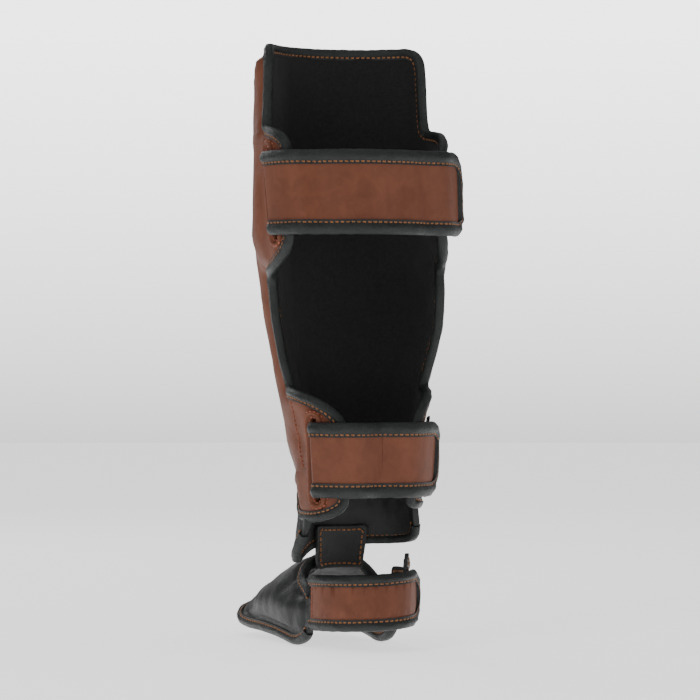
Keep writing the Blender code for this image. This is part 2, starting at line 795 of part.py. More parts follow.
def band(name, stations, halves, thick, place, colour, roughness):
    """Flat band with square edges, one row of points per station."""
    inner = lip_share(halves)
    shares = (-1.0, -inner, inner, 1.0)
    verts = []
    for along, half in zip(stations, halves):
        for side in (thick / 2, -thick / 2):
            verts += [place(along, half * share, side) for share in shares]
    width = len(shares)
    ring = list(range(width)) + list(range(2 * width - 1, width - 1, -1))
    faces = []
    for i in range(len(stations) - 1):
        for k in range(len(ring)):
            m = (k + 1) % len(ring)
            a = i * 2 * width
            b = a + 2 * width
            faces.append((a + ring[k], a + ring[m], b + ring[m], b + ring[k]))
    for base in (0, (len(stations) - 1) * 2 * width):
        for k in range(width - 1):
            faces.append((base + k, base + k + 1, base + width + k + 1, base + width + k))
    return finish_solid(name, verts, faces, colour, roughness)


def band_border(stations, halves):
    """Open outline of a band: along one edge, round its free end and back."""
    low = [(q, -half) for q, half in zip(stations, halves)]
    low.append((stations[-1], -halves[-1] * lip_share(halves)))
    return np.array(low + [(q, -w) for q, w in low[::-1]])


def strap_binding_profile(width):
    """U shape round a strap, a little looser than the panel's."""
    loose = STRAP_THICK / 2 + STRAP_GAP - GAP
    return binding_profile(-loose, loose, width)


def build_strap(name, strap, wing, root):
    path, first = strap_path(strap, wing, root)
    place, run = strap_place(strap, path)
    trim = WEB_GAP + BINDING_THICK
    half = strap["width"] / 2 - trim
    length = run[-1]
    halves = end_half_width(run, length, half, STRAP_CORNER)
    band(name, run, halves, STRAP_THICK, place, BROWN, 0.45)
    line = band_border(run[first:], halves[first:])
    edge_strip(
        name + "_binding", line, strap_binding_profile(STRAP_BINDING_WIDTH),
        place, BLACK, 0.5, closed=False)


def build_loop_patch():
    """Hook and loop patch on the outside of the lower sewn wing."""
    middle = LOWER_STRAP["middle"] * SHIN_HEIGHT
    low = middle - 0.42 * LOWER_STRAP_WIDTH
    high = middle + 0.56 * LOWER_STRAP_WIDTH
    turns = np.array([-119.0, -101.0, -101.0, -119.0])
    heights = np.array([low, low, high, high])
    corners = flatten(turns, heights)
    border = spread(soften(spread(corners, 0.002, 360), 6), 0.010, 25)
    base = WING_THICK + PATCH_GAP
    padded_sheet(
        "lower_loop_patch", pattern_triangles(border, [], [], 0.012), pattern_to_leg,
        lambda flat: np.full(len(flat), base),
        lambda flat: np.full(len(flat), base + LOOP_PATCH_THICK), DARK, 0.95)


# Instep pad, its link to the ankle and the heel strap

def instep_outline():
    across = column(INSTEP_HALF_OUTLINE, INSTEP_OUTLINE_COLUMNS, "across")
    along = column(INSTEP_HALF_OUTLINE, INSTEP_OUTLINE_COLUMNS, "along") * INSTEP_LENGTH
    half = np.array([(share * half_girth(y), y) for share, y in zip(across, along)])
    other = half[-2:0:-1] * np.array([-1.0, 1.0])
    closed = np.concatenate([half, other])
    return spread(soften(spread(closed, 0.002, 360), 20), PAD_STEP, SHARPEST)


def instep_thickness(flat, border):
    distance = border_distance(flat, border)
    ramp = np.clip((distance - BINDING_WIDTH - 0.0012) / (1.3 * PUFF_LENGTH), 0.0, 1.0)
    return EDGE_THICK + (INSTEP_THICK - EDGE_THICK) * np.sin(ramp * math.pi / 2)


def build_instep():
    border = instep_outline()
    rim = border + inward(border) * (BINDING_WIDTH + 0.0010)
    padded_sheet(
        "instep_pad", pattern_triangles(border, [], [rim], PAD_NET), pattern_to_foot,
        lambda flat: np.zeros(len(flat)),
        lambda flat: instep_thickness(flat, border), BLACK, 0.5)
    edge_strip(
        "instep_binding", border, binding_profile(-2 * GAP, EDGE_THICK + 2 * GAP, BINDING_WIDTH),
        pattern_to_foot, BLACK, 0.5)


def build_link():
    """Soft tongue from inside the ankle section to inside the instep pad."""
    clear = GAP + BINDING_THICK + 2 * GAP
    shares = np.linspace(-1.0, 1.0, 7)
    grid = []
    for low in (clear, clear + LINK_THICK):
        rows = []
        for share, width, drop in zip(*[column(LINK_ROWS, LINK_COLUMNS, name) for name in LINK_COLUMNS]):
            half = width * LINK_WIDTH / 2
            rows.append([pattern_to_leg(s * half, (share - drop * s * s) * SHIN_HEIGHT, -low) for s in shares])
        for share in LINK_FOOT_ROWS:
            half = LINK_ROWS[-1][1] * LINK_WIDTH / 2
            rows.append([pattern_to_foot(s * half, share * INSTEP_LENGTH, -low - PATCH_GAP) for s in shares])
        grid.append(rows)
    count = len(shares)
    layers = len(grid[0])
    verts = [point for rows in grid for row in rows for point in row]
    upper = layers * count
    faces = []
    for i in range(layers - 1):
        for k in range(count - 1):
            a = i * count + k
            faces.append((a, a + 1, a + count + 1, a + count))
            faces.append((a + upper, a + upper + count, a + upper + count + 1, a + upper + 1))
        for k in (0, count - 1):
            a = i * count + k
            faces.append((a, a + count, a + upper + count, a + upper))
    for i in (0, layers - 1):
        for k in range(count - 1):
            a = i * count + k
            faces.append((a, a + 1, a + upper + 1, a + upper))
    finish_solid("instep_link", verts, faces, BLACK, 0.55)


def heel_start_turn():
    """Turn at which the heel pieces begin, just behind the instep pad's rear binding."""
    rear = float(instep_outline()[:, 1].min())
    seam = rear - WEB_GAP - BINDING_THICK - GAP
    return math.degrees(math.acos(seam / HEEL_REAR_DEPTH))


def heel_place(start, direction):
    scale = (HEEL_HALF_WIDTH + HEEL_REAR_DEPTH) / 2

    def place(along, across, thick):
        turn = start + direction * math.degrees(along / scale)
        tilt = HEEL_STRAP_TILT * (turn - 180.0) / 100.0
        return heel_point(turn, HEEL_STRAP_MIDDLE + tilt + across, thick)

    return place, scale


def build_heel():
    start = heel_start_turn()
    place, scale = heel_place(start, 1)
    length = math.radians(HEEL_FREE_TURN - start) * scale
    trim = WEB_GAP + BINDING_THICK
    half = HEEL_STRAP_WIDTH / 2 - trim
    radius = half * 0.92
    straight = np.linspace(0.0, length - radius, 13)[:-1]
    bend = length - radius + radius * np.sin(np.linspace(0, math.pi / 2, 7))
    stations = np.concatenate([straight, bend])
    halves = end_half_width(stations, length, half, radius)
    band("heel_strap", stations, halves, STRAP_THICK, place, BROWN, 0.45)
    line = band_border(stations, halves)
    edge_strip(
        "heel_strap_binding", line,
        strap_binding_profile(STRAP_BINDING_WIDTH * 0.8),
        place, BLACK, 0.5, closed=False)


def build_underlap():
    """Black tab from the far side of the instep pad, under the heel strap's free end."""
    start = 360.0 - heel_start_turn()
    place, scale = heel_place(start, -1)
    level = -(STRAP_THICK / 2 + STRAP_GAP + BINDING_THICK + GAP + UNDERLAP_THICK / 2)
    length = math.radians(UNDERLAP_TURN) * scale
    half = HEEL_STRAP_WIDTH / 2 - 0.002
    low = [(q, -half) for q in np.linspace(0.0, length - half, 4)[:-1]]
    bend = [(length - half + half * math.sin(a), -half * math.cos(a)) for a in np.linspace(0, math.pi / 2, 5)]
    crest = UNDERLAP_RISE * half
    top = [(length, crest * 0.55), (length - 0.003, crest * 0.9), (length - 0.008, crest), (length - 0.017, crest * 0.82)]
    top += [(length * 0.45, half * 1.08), (length * 0.2, half), (0.0, half)]
    border = spread(np.array(low + bend + top), 0.011, 24)
    padded_sheet(
        "heel_underlap", pattern_triangles(border, [], [], 0.013), place,
        lambda flat: np.full(len(flat), level - UNDERLAP_THICK / 2),
        lambda flat: np.full(len(flat), level + UNDERLAP_THICK / 2), BLACK, 0.55)


def clear_scene():
    for item in list(bpy.data.objects):
        bpy.data.objects.remove(item, do_unlink=True)


def main():
    clear_scene()
    dense = soften(spread(panel_outline(), 0.0015, 360), 22)
    border = spread(dense, PANEL_STEP, SHARPEST)
    build_panel(border)
    build_ankle(dense)
    build_strap("upper_strap", UPPER_STRAP, UPPER_WING, UPPER_ROOT)
    build_strap("lower_strap", LOWER_STRAP, LOWER_WING, LOWER_ROOT)
    build_loop_patch()
    build_link()
    build_instep()
    build_heel()
    build_underlap()


main()
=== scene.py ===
import json
import math

import bmesh
import bpy
import numpy as np
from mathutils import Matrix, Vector, noise
from mathutils.bvhtree import BVHTree
from mathutils.kdtree import KDTree

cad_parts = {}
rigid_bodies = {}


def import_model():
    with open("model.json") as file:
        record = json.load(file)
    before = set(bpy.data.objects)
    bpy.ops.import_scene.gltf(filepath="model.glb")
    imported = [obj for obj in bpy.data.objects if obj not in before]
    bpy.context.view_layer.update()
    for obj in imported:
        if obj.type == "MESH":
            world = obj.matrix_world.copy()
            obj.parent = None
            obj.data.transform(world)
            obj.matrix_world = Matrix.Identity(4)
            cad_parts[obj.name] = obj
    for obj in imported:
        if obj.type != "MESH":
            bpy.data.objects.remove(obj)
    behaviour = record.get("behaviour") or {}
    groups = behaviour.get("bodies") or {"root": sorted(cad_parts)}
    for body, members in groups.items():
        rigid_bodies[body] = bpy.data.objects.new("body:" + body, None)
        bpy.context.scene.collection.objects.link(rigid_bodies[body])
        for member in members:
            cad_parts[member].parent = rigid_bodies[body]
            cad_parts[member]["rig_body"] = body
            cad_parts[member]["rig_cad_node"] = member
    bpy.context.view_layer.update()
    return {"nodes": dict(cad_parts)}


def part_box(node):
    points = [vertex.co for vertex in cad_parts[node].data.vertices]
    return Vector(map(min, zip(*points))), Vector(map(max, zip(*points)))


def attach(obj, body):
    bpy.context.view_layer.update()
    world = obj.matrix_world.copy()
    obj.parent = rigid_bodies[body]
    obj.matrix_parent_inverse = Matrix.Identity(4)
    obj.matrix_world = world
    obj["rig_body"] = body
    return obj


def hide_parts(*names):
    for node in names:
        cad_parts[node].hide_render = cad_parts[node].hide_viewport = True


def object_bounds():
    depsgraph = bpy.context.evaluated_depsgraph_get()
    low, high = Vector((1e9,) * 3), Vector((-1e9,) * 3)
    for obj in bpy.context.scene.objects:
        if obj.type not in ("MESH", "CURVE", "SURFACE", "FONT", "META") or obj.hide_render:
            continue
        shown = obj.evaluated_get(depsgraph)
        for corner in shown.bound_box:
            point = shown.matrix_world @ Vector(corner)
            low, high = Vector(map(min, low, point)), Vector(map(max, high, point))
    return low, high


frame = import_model()
up = Vector((0, 0, 1))

# thread as it is sewn through every part of the guard, in metres
thread = {"pitch": 0.0043, "length": 0.0034, "thick": 0.00055}


def deselect():
    if bpy.context.mode != "OBJECT":
        bpy.ops.object.mode_set(mode="OBJECT")
    bpy.ops.object.select_all(action="DESELECT")


def pick(piece):
    deselect()
    piece.select_set(True)
    bpy.context.view_layer.objects.active = piece


def copyNode(nodeName, name):
    # the CAD mesh is loose triangles, so the copy is merged before it is worked on
    pick(frame["nodes"][nodeName])
    bpy.ops.object.duplicate()
    piece = bpy.context.view_layer.objects.active
    piece.name = name
    piece.data.name = name
    piece.parent = None
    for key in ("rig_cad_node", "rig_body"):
        if key in piece:
            del piece[key]
    pick(piece)
    bpy.ops.object.mode_set(mode="EDIT")
    bpy.ops.mesh.select_all(action="SELECT")
    bpy.ops.mesh.remove_doubles(threshold=0.00002)
    bpy.ops.object.mode_set(mode="OBJECT")
    piece.data.materials.clear()
    return piece


def removePiece(piece):
    bpy.data.objects.remove(piece, do_unlink=True)


def applied(piece, kind, **settings):
    # adds a modifier, applies it, and leaves the piece without it
    pick(piece)
    modifier = piece.modifiers.new(kind.lower(), kind)
    for key, value in settings.items():
        setattr(modifier, key, value)
    bpy.ops.object.modifier_apply(modifier=modifier.name)
    return piece


def coordsOf(piece):
    flat = np.zeros(len(piece.data.vertices) * 3)
    piece.data.vertices.foreach_get("co", flat)
    return flat.reshape(-1, 3)


def normalsOf(piece):
    flat = np.zeros(len(piece.data.vertices) * 3, dtype=np.float32)
    piece.data.vertices.foreach_get("normal", flat)
    return flat.reshape(-1, 3).astype(float)


def setCoords(piece, coords):
    piece.data.vertices.foreach_set("co", np.ascontiguousarray(coords, dtype=float).ravel())
    piece.data.update()


def meshPiece(name, points, faces):
    mesh = bpy.data.meshes.new(name)
    mesh.from_pydata([tuple(p) for p in points], [], faces)
    mesh.update()
    piece = bpy.data.objects.new(name, mesh)
    bpy.context.scene.collection.objects.link(piece)
    return piece


def surfaceOf(piece):
    mesh = piece.data
    return BVHTree.FromPolygons([v.co for v in mesh.vertices], [p.vertices[:] for p in mesh.polygons])


def shadeSoft(piece, angle=60.0):
    pick(piece)
    bpy.ops.object.shade_smooth_by_angle(angle=math.radians(angle))


def dress(piece, material, slotName, *nodes):
    piece.data.materials.clear()
    piece.data.materials.append(material)
    for polygon in piece.data.polygons:
        polygon.material_index = 0
    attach(piece, "root")
    if nodes:
        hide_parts(*nodes)
    return piece


# Rims: the cut edges of the CAD sheets, which the tapes and seams follow

def broadFaces(nodeName, sharp=58.0):
    # edge loops of a sheet's outer and inner face, the longest loop first, with the normals along them
    work = bmesh.new()
    work.from_mesh(frame["nodes"][nodeName].data)
    bmesh.ops.remove_doubles(work, verts=work.verts, dist=0.00002)
    work.faces.ensure_lookup_table()
    regionOf = [-1] * len(work.faces)
    regions = []
    for first in work.faces:
        if regionOf[first.index] >= 0:
            continue
        regionOf[first.index] = len(regions)
        region = [first]
        for face in region:
            for edge in face.edges:
                if len(edge.link_faces) != 2 or edge.calc_face_angle() > math.radians(sharp):
                    continue
                for other in edge.link_faces:
                    if regionOf[other.index] < 0:
                        regionOf[other.index] = len(regions)
                        region.append(other)
        regions.append(region)
    broad = sorted(regions, key=lambda region: -sum(face.calc_area() for face in region))[:2]
    found = []
    for region in broad:
        members = set(region)
        following = {}
        for face in region:
            for corner in face.loops:
                if not any(other in members for other in corner.edge.link_faces if other != face):
                    following[corner.vert] = corner.link_loop_next.vert
        loops = []
        while following:
            vert = min(following, key=lambda v: v.index)
            ring = []
            while vert in following:
                ring.append(vert)
                vert = following.pop(vert)
            normals = []
            for v in ring:
                total = Vector()
                for face in v.link_faces:
                    if face in members:
                        total += face.normal * face.calc_area()
                normals.append(total.normalized()[:])
            loops.append((np.array([v.co[:] for v in ring]), np.array(normals)))
        reach = 0.0
        for face in region:
            centre = face.calc_center_median()
            flat = Vector((centre.x, centre.y, 0))
            if face.normal.dot(flat.normalized()) > 0.3:
                reach = max(reach, flat.length)
        found.append((-reach, sorted(loops, key=lambda loop: -lineLength(loop[0]))))
    work.free()
    return [loops for reach, loops in sorted(found, key=lambda pair: pair[0])]


def lineLength(line, closed=True):
    steps = np.diff(np.vstack([line, line[:1]]) if closed else line, axis=0)
    return float(np.linalg.norm(steps, axis=1).sum())


def unit(vectors):
    return vectors / np.maximum(np.linalg.norm(vectors, axis=-1, keepdims=True), 1e-12)


def rimPairs(first, second):
    # top and bottom loop of one cut edge, matched point by point
    tree = KDTree(len(second))
    for i, point in enumerate(second):
        tree.insert(point, i)
    tree.balance()
    return first, np.array([second[tree.find(Vector(p))[1]] for p in first])


def outward(points):
    # directions away from the upright axis
    flat = np.array(points, dtype=float).copy()
    flat[:, 2] = 0.0
    return unit(flat)


def respace(line, extra, step, closed=True):
    # smooth curve through the line's points at an even step, carrying other vectors along
    data = np.hstack([line] + list(extra))
    if closed:
        data = np.vstack([data[-1:], data, data[:2]])
    else:
        data = np.vstack([2 * data[:1] - data[1:2], data, 2 * data[-1:] - data[-2:-1]])
    gaps = np.sqrt(np.linalg.norm(np.diff(data[:, :3], axis=0), axis=1)) + 1e-9
    knots = np.concatenate([[0.0], np.cumsum(gaps)])
    fine = []
    for i in range(1, len(data) - 2):
        t0, t1, t2, t3 = knots[i - 1:i + 3]
        p0, p1, p2, p3 = data[i - 1:i + 3]
        for t in np.linspace(t1, t2, 13)[:-1]:
            a1 = (t1 - t) / (t1 - t0) * p0 + (t - t0) / (t1 - t0) * p1
            a2 = (t2 - t) / (t2 - t1) * p1 + (t - t1) / (t2 - t1) * p2
            a3 = (t3 - t) / (t3 - t2) * p2 + (t - t2) / (t3 - t2) * p3
            b1 = (t2 - t) / (t2 - t0) * a1 + (t - t0) / (t2 - t0) * a2
            b2 = (t3 - t) / (t3 - t1) * a2 + (t - t1) / (t3 - t1) * a3
            fine.append((t2 - t) / (t2 - t1) * b1 + (t - t1) / (t2 - t1) * b2)
    fine = np.array(fine)
    if not closed:
        fine = np.vstack([fine, data[-2:-1]])
    ring = np.vstack([fine, fine[:1]]) if closed else fine
    run = np.concatenate([[0.0], np.cumsum(np.linalg.norm(np.diff(ring[:, :3], axis=0), axis=1))])
    count = max(4, int(round(run[-1] / step)))
    wanted = np.linspace(0.0, run[-1], count + 1)
    if closed:
        wanted = wanted[:-1]
    even = np.stack([np.interp(wanted, run, ring[:, k]) for k in range(ring.shape[1])], axis=1)
    return [even[:, 3 * k:3 * k + 3] for k in range(even.shape[1] // 3)]


def tangents(line, closed=True):
    if closed:
        return unit(np.roll(line, -1, 0) - np.roll(line, 1, 0))
    return unit(np.gradient(line, axis=0))


def smoothRows(rows, passes, closed=True):
    rows = np.array(rows, dtype=float)
    for _ in range(passes):
        if closed:
            rows = 0.25 * np.roll(rows, 1, 0) + 0.5 * rows + 0.25 * np.roll(rows, -1, 0)
        else:
            rows[1:-1] = 0.25 * rows[:-2] + 0.5 * rows[1:-1] + 0.25 * rows[2:]
    return rows


# Pieces sewn from the frame

def sweep(name, rings, closed=True):
    # skin over rows of points, with flat caps where it is open
    count = len(rings[0])
    points = [p for ring in rings for p in ring]
    faces = []
    stations = len(rings)
    for i in range(stations if closed else stations - 1):
        j = (i + 1) % stations
        for k in range(count):
            m = (k + 1) % count
            faces.append((i * count + k, i * count + m, j * count + m, j * count + k))
    if not closed:
        faces.append(tuple(range(count))[::-1])
        faces.append(tuple((stations - 1) * count + k for k in range(count)))
    piece = meshPiece(name, points, faces)
    pick(piece)
    bpy.ops.object.mode_set(mode="EDIT")
    bpy.ops.mesh.select_all(action="SELECT")
    bpy.ops.mesh.normals_make_consistent(inside=False)
    bpy.ops.object.mode_set(mode="OBJECT")
    return piece


def sewTape(name, top, bottom, closed, width, settings, seed):
    # folded leather strip round a cut edge, puffed between its fold and its stitches
    normal = unit(top - bottom)
    top, bottom, normal = respace(top, [bottom, normal], settings["step"], closed)
    along = smoothRows(tangents(top, closed), 3, closed)
    along = unit(along)
    normal = unit(smoothRows(unit(normal), 6, closed))
    deep = unit(np.cross(normal, along))
    middle = 0.5 * (top + bottom)
    if settings["probe"](middle + 0.006 * deep) > settings["probe"](middle - 0.006 * deep):
        deep = -deep
    half = 0.5 * np.linalg.norm(top - bottom, axis=1)
    half = smoothRows(np.full(len(half), half.mean()), 1, closed)
    bend = np.linalg.norm(np.roll(along, -3, 0) - np.roll(along, 3, 0), axis=1)
    gather = np.clip(smoothRows(bend, 6, closed) / 0.9, 0.0, 1.0)
    run = np.arange(len(top)) * settings["step"]
    puff = settings["puff"]
    seam = width - settings["seam"]
    shape = (
        # depth from the fold, height over the sheet, share of the wrinkles
        (width, 0.00000, 0.0),
        (width, 0.00075, 0.1),
        (seam + 0.0006, 0.00080, 0.2),
        (seam, 0.00050, 0.0),
        (seam - 0.0009, 0.0011, 0.7),
        (seam * 0.62, 0.0010 + puff, 1.0),
        (seam * 0.32, 0.0009 + puff, 1.0),
        (0.0004, 0.0006 + puff * 0.6, 0.8),
        (-0.0013, 0.0 + puff * 0.1, 0.6),
    )
    rings = []
    threadTop = []
    threadLow = []
    for i in range(len(top)):
        ring = []
        for side in (1.0, -1.0):
            rows = shape if side > 0 else shape[::-1]
            for depth, height, share in rows:
                place = Vector((run[i] * 105.0, depth * 620.0, seed * 7.3 + side))
                crease = noise.noise(place) * settings["wrinkle"] * (0.45 + 1.9 * gather[i])
                lift = height + crease * share
                if side < 0:
                    lift *= 0.8
                out = side * (half[i] + lift)
                ring.append(middle[i] + deep[i] * depth + normal[i] * out)
        edge = middle[i] - deep[i] * (0.0017 + 0.0004 * noise.noise(Vector((run[i] * 150.0, 3.0, seed))))
        ring.insert(len(shape), edge)
        rings.append(ring)
        threadTop.append(middle[i] + deep[i] * seam + normal[i] * (half[i] + 0.0005))
        threadLow.append(middle[i] + deep[i] * seam - normal[i] * (half[i] + 0.0004))
    piece = sweep(name, rings, closed)
    shadeSoft(piece, 80)
    return piece, (np.array(threadTop), normal), (np.array(threadLow), -normal)


def stitchShape():
    # one stitch: a short round bead, lying along X
    deselect()
    bpy.ops.mesh.primitive_cylinder_add(
        vertices=6, radius=thread["thick"] / 2, depth=thread["length"] * 0.72, end_fill_type="NGON",
        rotation=(0, math.pi / 2, 0))
    stitch = bpy.context.view_layer.objects.active
    bpy.ops.object.transform_apply(location=True, rotation=True, scale=True)
    bpy.ops.object.mode_set(mode="EDIT")
    bpy.ops.mesh.select_all(action="DESELECT")
    bpy.ops.object.mode_set(mode="OBJECT")
    for polygon in stitch.data.polygons:
        polygon.select = abs(polygon.normal.x) > 0.9
    bpy.ops.object.mode_set(mode="EDIT")
    bpy.ops.mesh.extrude_faces_move(TRANSFORM_OT_shrink_fatten={"value": thread["length"] * 0.14})
    bpy.ops.object.mode_set(mode="OBJECT")
    points = coordsOf(stitch)
    ends = np.abs(points[:, 0]) > thread["length"] * 0.45
    points[ends, 1:] *= 0.35
    points[ends, 2] -= thread["thick"] * 0.3
    faces = [tuple(p.vertices) for p in stitch.data.polygons]
    removePiece(stitch)
    return points, faces


beadPoints, beadFaces = stitchShape()


def sewThread(name, rows, pitch=None, thick=1.0, length=1.0):
    # the same stitch set down at every step of each row
    pitch = pitch or thread["pitch"]
    points = []
    faces = []
    for line, normal, closed in rows:
        line, normal = respace(line, [normal], pitch, closed)
        along = tangents(line, closed)
        normal = unit(normal)
        across = unit(np.cross(normal, along))
        normal = np.cross(along, across)
        for p, a, c, n in zip(line, along, across, normal):
            skew = 0.10 * math.sin(len(points) * 1.7)
            a2 = unit(a + c * skew)
            first = len(points)
            for b in beadPoints:
                points.append(p + a2 * b[0] * length + c * b[1] * thick + n * b[2] * thick)
            faces.extend(tuple(first + v for v in face) for face in beadFaces)
    piece = meshPiece(name, points, faces)
    shadeSoft(piece, 50)
    return piece


# Materials

def nodeGroup(name, inputs, outputs):
    group = bpy.data.node_groups.new(name, "ShaderNodeTree")
    for label, kind, value in inputs:
        socket = group.interface.new_socket(label, in_out="INPUT", socket_type=kind)
        socket.default_value = value
    for label, kind in outputs:
        group.interface.new_socket(label, in_out="OUTPUT", socket_type=kind)
    start = group.nodes.new("NodeGroupInput")
    end = group.nodes.new("NodeGroupOutput")
    return group, start, end


def add(tree, kind, **settings):
    node = tree.nodes.new(kind)
    for key, value in settings.items():
        if key in node.inputs:
            node.inputs[key].default_value = value
        else:
            setattr(node, key, value)
    return node


def math2(tree, operation, a, b, clamp=False):
    node = tree.nodes.new("ShaderNodeMath")
    node.operation = operation
    node.use_clamp = clamp
    for socket, value in ((node.inputs[0], a), (node.inputs[1], b)):
        if isinstance(value, (int, float)):
            socket.default_value = value
        else:
            tree.links.new(value, socket)
    return node.outputs[0]


def leatherGrainGroup():
    # pebbled grain with broken creases: a height and a tone that varies over the hide
    group, start, end = nodeGroup(
        "leatherGrain",
        [("Cells", "NodeSocketFloat", 800.0), ("Creases", "NodeSocketFloat", 60.0),
         ("Crease Depth", "NodeSocketFloat", 0.4)],
        [("Height", "NodeSocketFloat"), ("Tone", "NodeSocketFloat"), ("Patches", "NodeSocketFloat")])
    links = group.links
    coord = group.nodes.new("ShaderNodeTexCoord")
    cells = add(group, "ShaderNodeTexVoronoi", feature="SMOOTH_F1", Smoothness=0.6, Randomness=1.0)
    links.new(coord.outputs["Object"], cells.inputs["Vector"])
    links.new(start.outputs["Cells"], cells.inputs["Scale"])
    fine = add(group, "ShaderNodeTexNoise", Scale=2600.0, Detail=2.0)
    links.new(coord.outputs["Object"], fine.inputs["Vector"])
    crease = add(group, "ShaderNodeTexNoise", Detail=5.0, Roughness=0.62, Distortion=0.6)
    links.new(coord.outputs["Object"], crease.inputs["Vector"])
    links.new(start.outputs["Creases"], crease.inputs["Scale"])
    broad = add(group, "ShaderNodeTexNoise", Scale=22.0, Detail=3.0, Roughness=0.55)
    links.new(coord.outputs["Object"], broad.inputs["Vector"])
    pebble = math2(group, "MULTIPLY", cells.outputs["Distance"], -0.55)
    grain = math2(group, "ADD", pebble, math2(group, "MULTIPLY", fine.outputs["Fac"], 0.14))
    ridge = math2(group, "ABSOLUTE", math2(group, "SUBTRACT", crease.outputs["Fac"], 0.5), 0.0)
    line = math2(group, "MULTIPLY", ridge, -6.0)
    line = math2(group, "ADD", line, 1.0, True)
    folded = math2(group, "MULTIPLY", line, start.outputs["Crease Depth"])
    links.new(math2(group, "SUBTRACT", grain, folded), end.inputs["Height"])
    fineTone = math2(group, "MULTIPLY", fine.outputs["Fac"], 0.4)
    creaseTone = math2(group, "MULTIPLY", crease.outputs["Fac"], 0.6)
    tone = math2(group, "ADD", fineTone, creaseTone)
    links.new(tone, end.inputs["Tone"])
    links.new(broad.outputs["Fac"], end.inputs["Patches"])
    return group


def weaveGroup():
    # two sets of crossing yarns
    group, start, end = nodeGroup(
        "weave", [("Yarns", "NodeSocketFloat", 900.0)], [("Height", "NodeSocketFloat"), ("Tone", "NodeSocketFloat")])
    links = group.links
    coord = group.nodes.new("ShaderNodeTexCoord")
    warp = add(group, "ShaderNodeTexWave", wave_type="BANDS", bands_direction="Z", Distortion=1.2)
    weft = add(group, "ShaderNodeTexWave", wave_type="BANDS", bands_direction="DIAGONAL", Distortion=1.2)
    fuzz = add(group, "ShaderNodeTexNoise", Scale=420.0, Detail=4.0)
    for node in (warp, weft, fuzz):
        links.new(coord.outputs["Object"], node.inputs["Vector"])
    for node in (warp, weft):
        links.new(start.outputs["Yarns"], node.inputs["Scale"])
    crossing = math2(group, "MULTIPLY", warp.outputs["Fac"], weft.outputs["Fac"])
    links.new(math2(group, "ADD", crossing, math2(group, "MULTIPLY", fuzz.outputs["Fac"], 0.6)), end.inputs["Height"])
    links.new(fuzz.outputs["Fac"], end.inputs["Tone"])
    return group


leatherGrain = leatherGrainGroup()
weave = weaveGroup()


def newMaterial(name, roughness, sheen=0.0):
    material = bpy.data.materials.new(name)
    material.use_nodes = True
    shader = material.node_tree.nodes["Principled BSDF"]
    shader.inputs["Roughness"].default_value = roughness
    shader.inputs["Sheen Weight"].default_value = sheen
    return material, material.node_tree, shader


def ramp(tree, factor, low, high, colours):
    node = tree.nodes.new("ShaderNodeValToRGB")
    node.color_ramp.elements[0].position = low
    node.color_ramp.elements[1].position = high
    node.color_ramp.elements[0].color = (*colours[0], 1)
    node.color_ramp.elements[1].color = (*colours[1], 1)
    tree.links.new(factor, node.inputs["Fac"])
    return node.outputs["Color"]


def leatherMaterial(name, look):
    material, tree, shader = newMaterial(name, look["roughness"][0])
    grain = tree.nodes.new("ShaderNodeGroup")
    grain.node_tree = leatherGrain
    grain.inputs["Cells"].default_value = look["cells"]
    grain.inputs["Creases"].default_value = look["creases"]
    grain.inputs["Crease Depth"].default_value = look["creaseDepth"]
    base = ramp(tree, grain.outputs["Patches"], 0.34, 0.68, (look["dark"], look["light"]))
    speck = ramp(tree, grain.outputs["Tone"], 0.36, 0.62, ((0.82, 0.82, 0.82), (1.08, 1.08, 1.08)))
    mix = tree.nodes.new("ShaderNodeMix")
    mix.data_type = "RGBA"
    mix.blend_type = "MULTIPLY"
    mix.inputs["Factor"].default_value = 1.0
    tree.links.new(base, mix.inputs["A"])
    tree.links.new(speck, mix.inputs["B"])
    tree.links.new(mix.outputs["Result"], shader.inputs["Base Color"])
    spread = tree.nodes.new("ShaderNodeMapRange")
    spread.inputs["From Min"].default_value = 0.3
    spread.inputs["From Max"].default_value = 0.7
    spread.inputs["To Min"].default_value = look["roughness"][0]
    spread.inputs["To Max"].default_value = look["roughness"][1]
    tree.links.new(grain.outputs["Patches"], spread.inputs["Value"])
    tree.links.new(spread.outputs["Result"], shader.inputs["Roughness"])
    bump = tree.nodes.new("ShaderNodeBump")
    bump.inputs["Strength"].default_value = look["bump"]
    bump.inputs["Distance"].default_value = 0.0004
    tree.links.new(grain.outputs["Height"], bump.inputs["Height"])
    tree.links.new(bump.outputs["Normal"], shader.inputs["Normal"])
    shader.inputs["Specular IOR Level"].default_value = look["specular"]
    return material


def clothMaterial(name, look):
    material, tree, shader = newMaterial(name, look["roughness"], look["sheen"])
    shader.inputs["Sheen Roughness"].default_value = 0.6
    yarns = tree.nodes.new("ShaderNodeGroup")
    yarns.node_tree = weave
    yarns.inputs["Yarns"].default_value = look["yarns"]
    colour = ramp(tree, yarns.outputs["Tone"], 0.3, 0.7, (look["dark"], look["light"]))
    tree.links.new(colour, shader.inputs["Base Color"])
    bump = tree.nodes.new("ShaderNodeBump")
    bump.inputs["Strength"].default_value = look["bump"]
    bump.inputs["Distance"].default_value = 0.0005
    tree.links.new(yarns.outputs["Height"], bump.inputs["Height"])
    tree.links.new(bump.outputs["Normal"], shader.inputs["Normal"])
    shader.inputs["Specular IOR Level"].default_value = 0.25
    return material


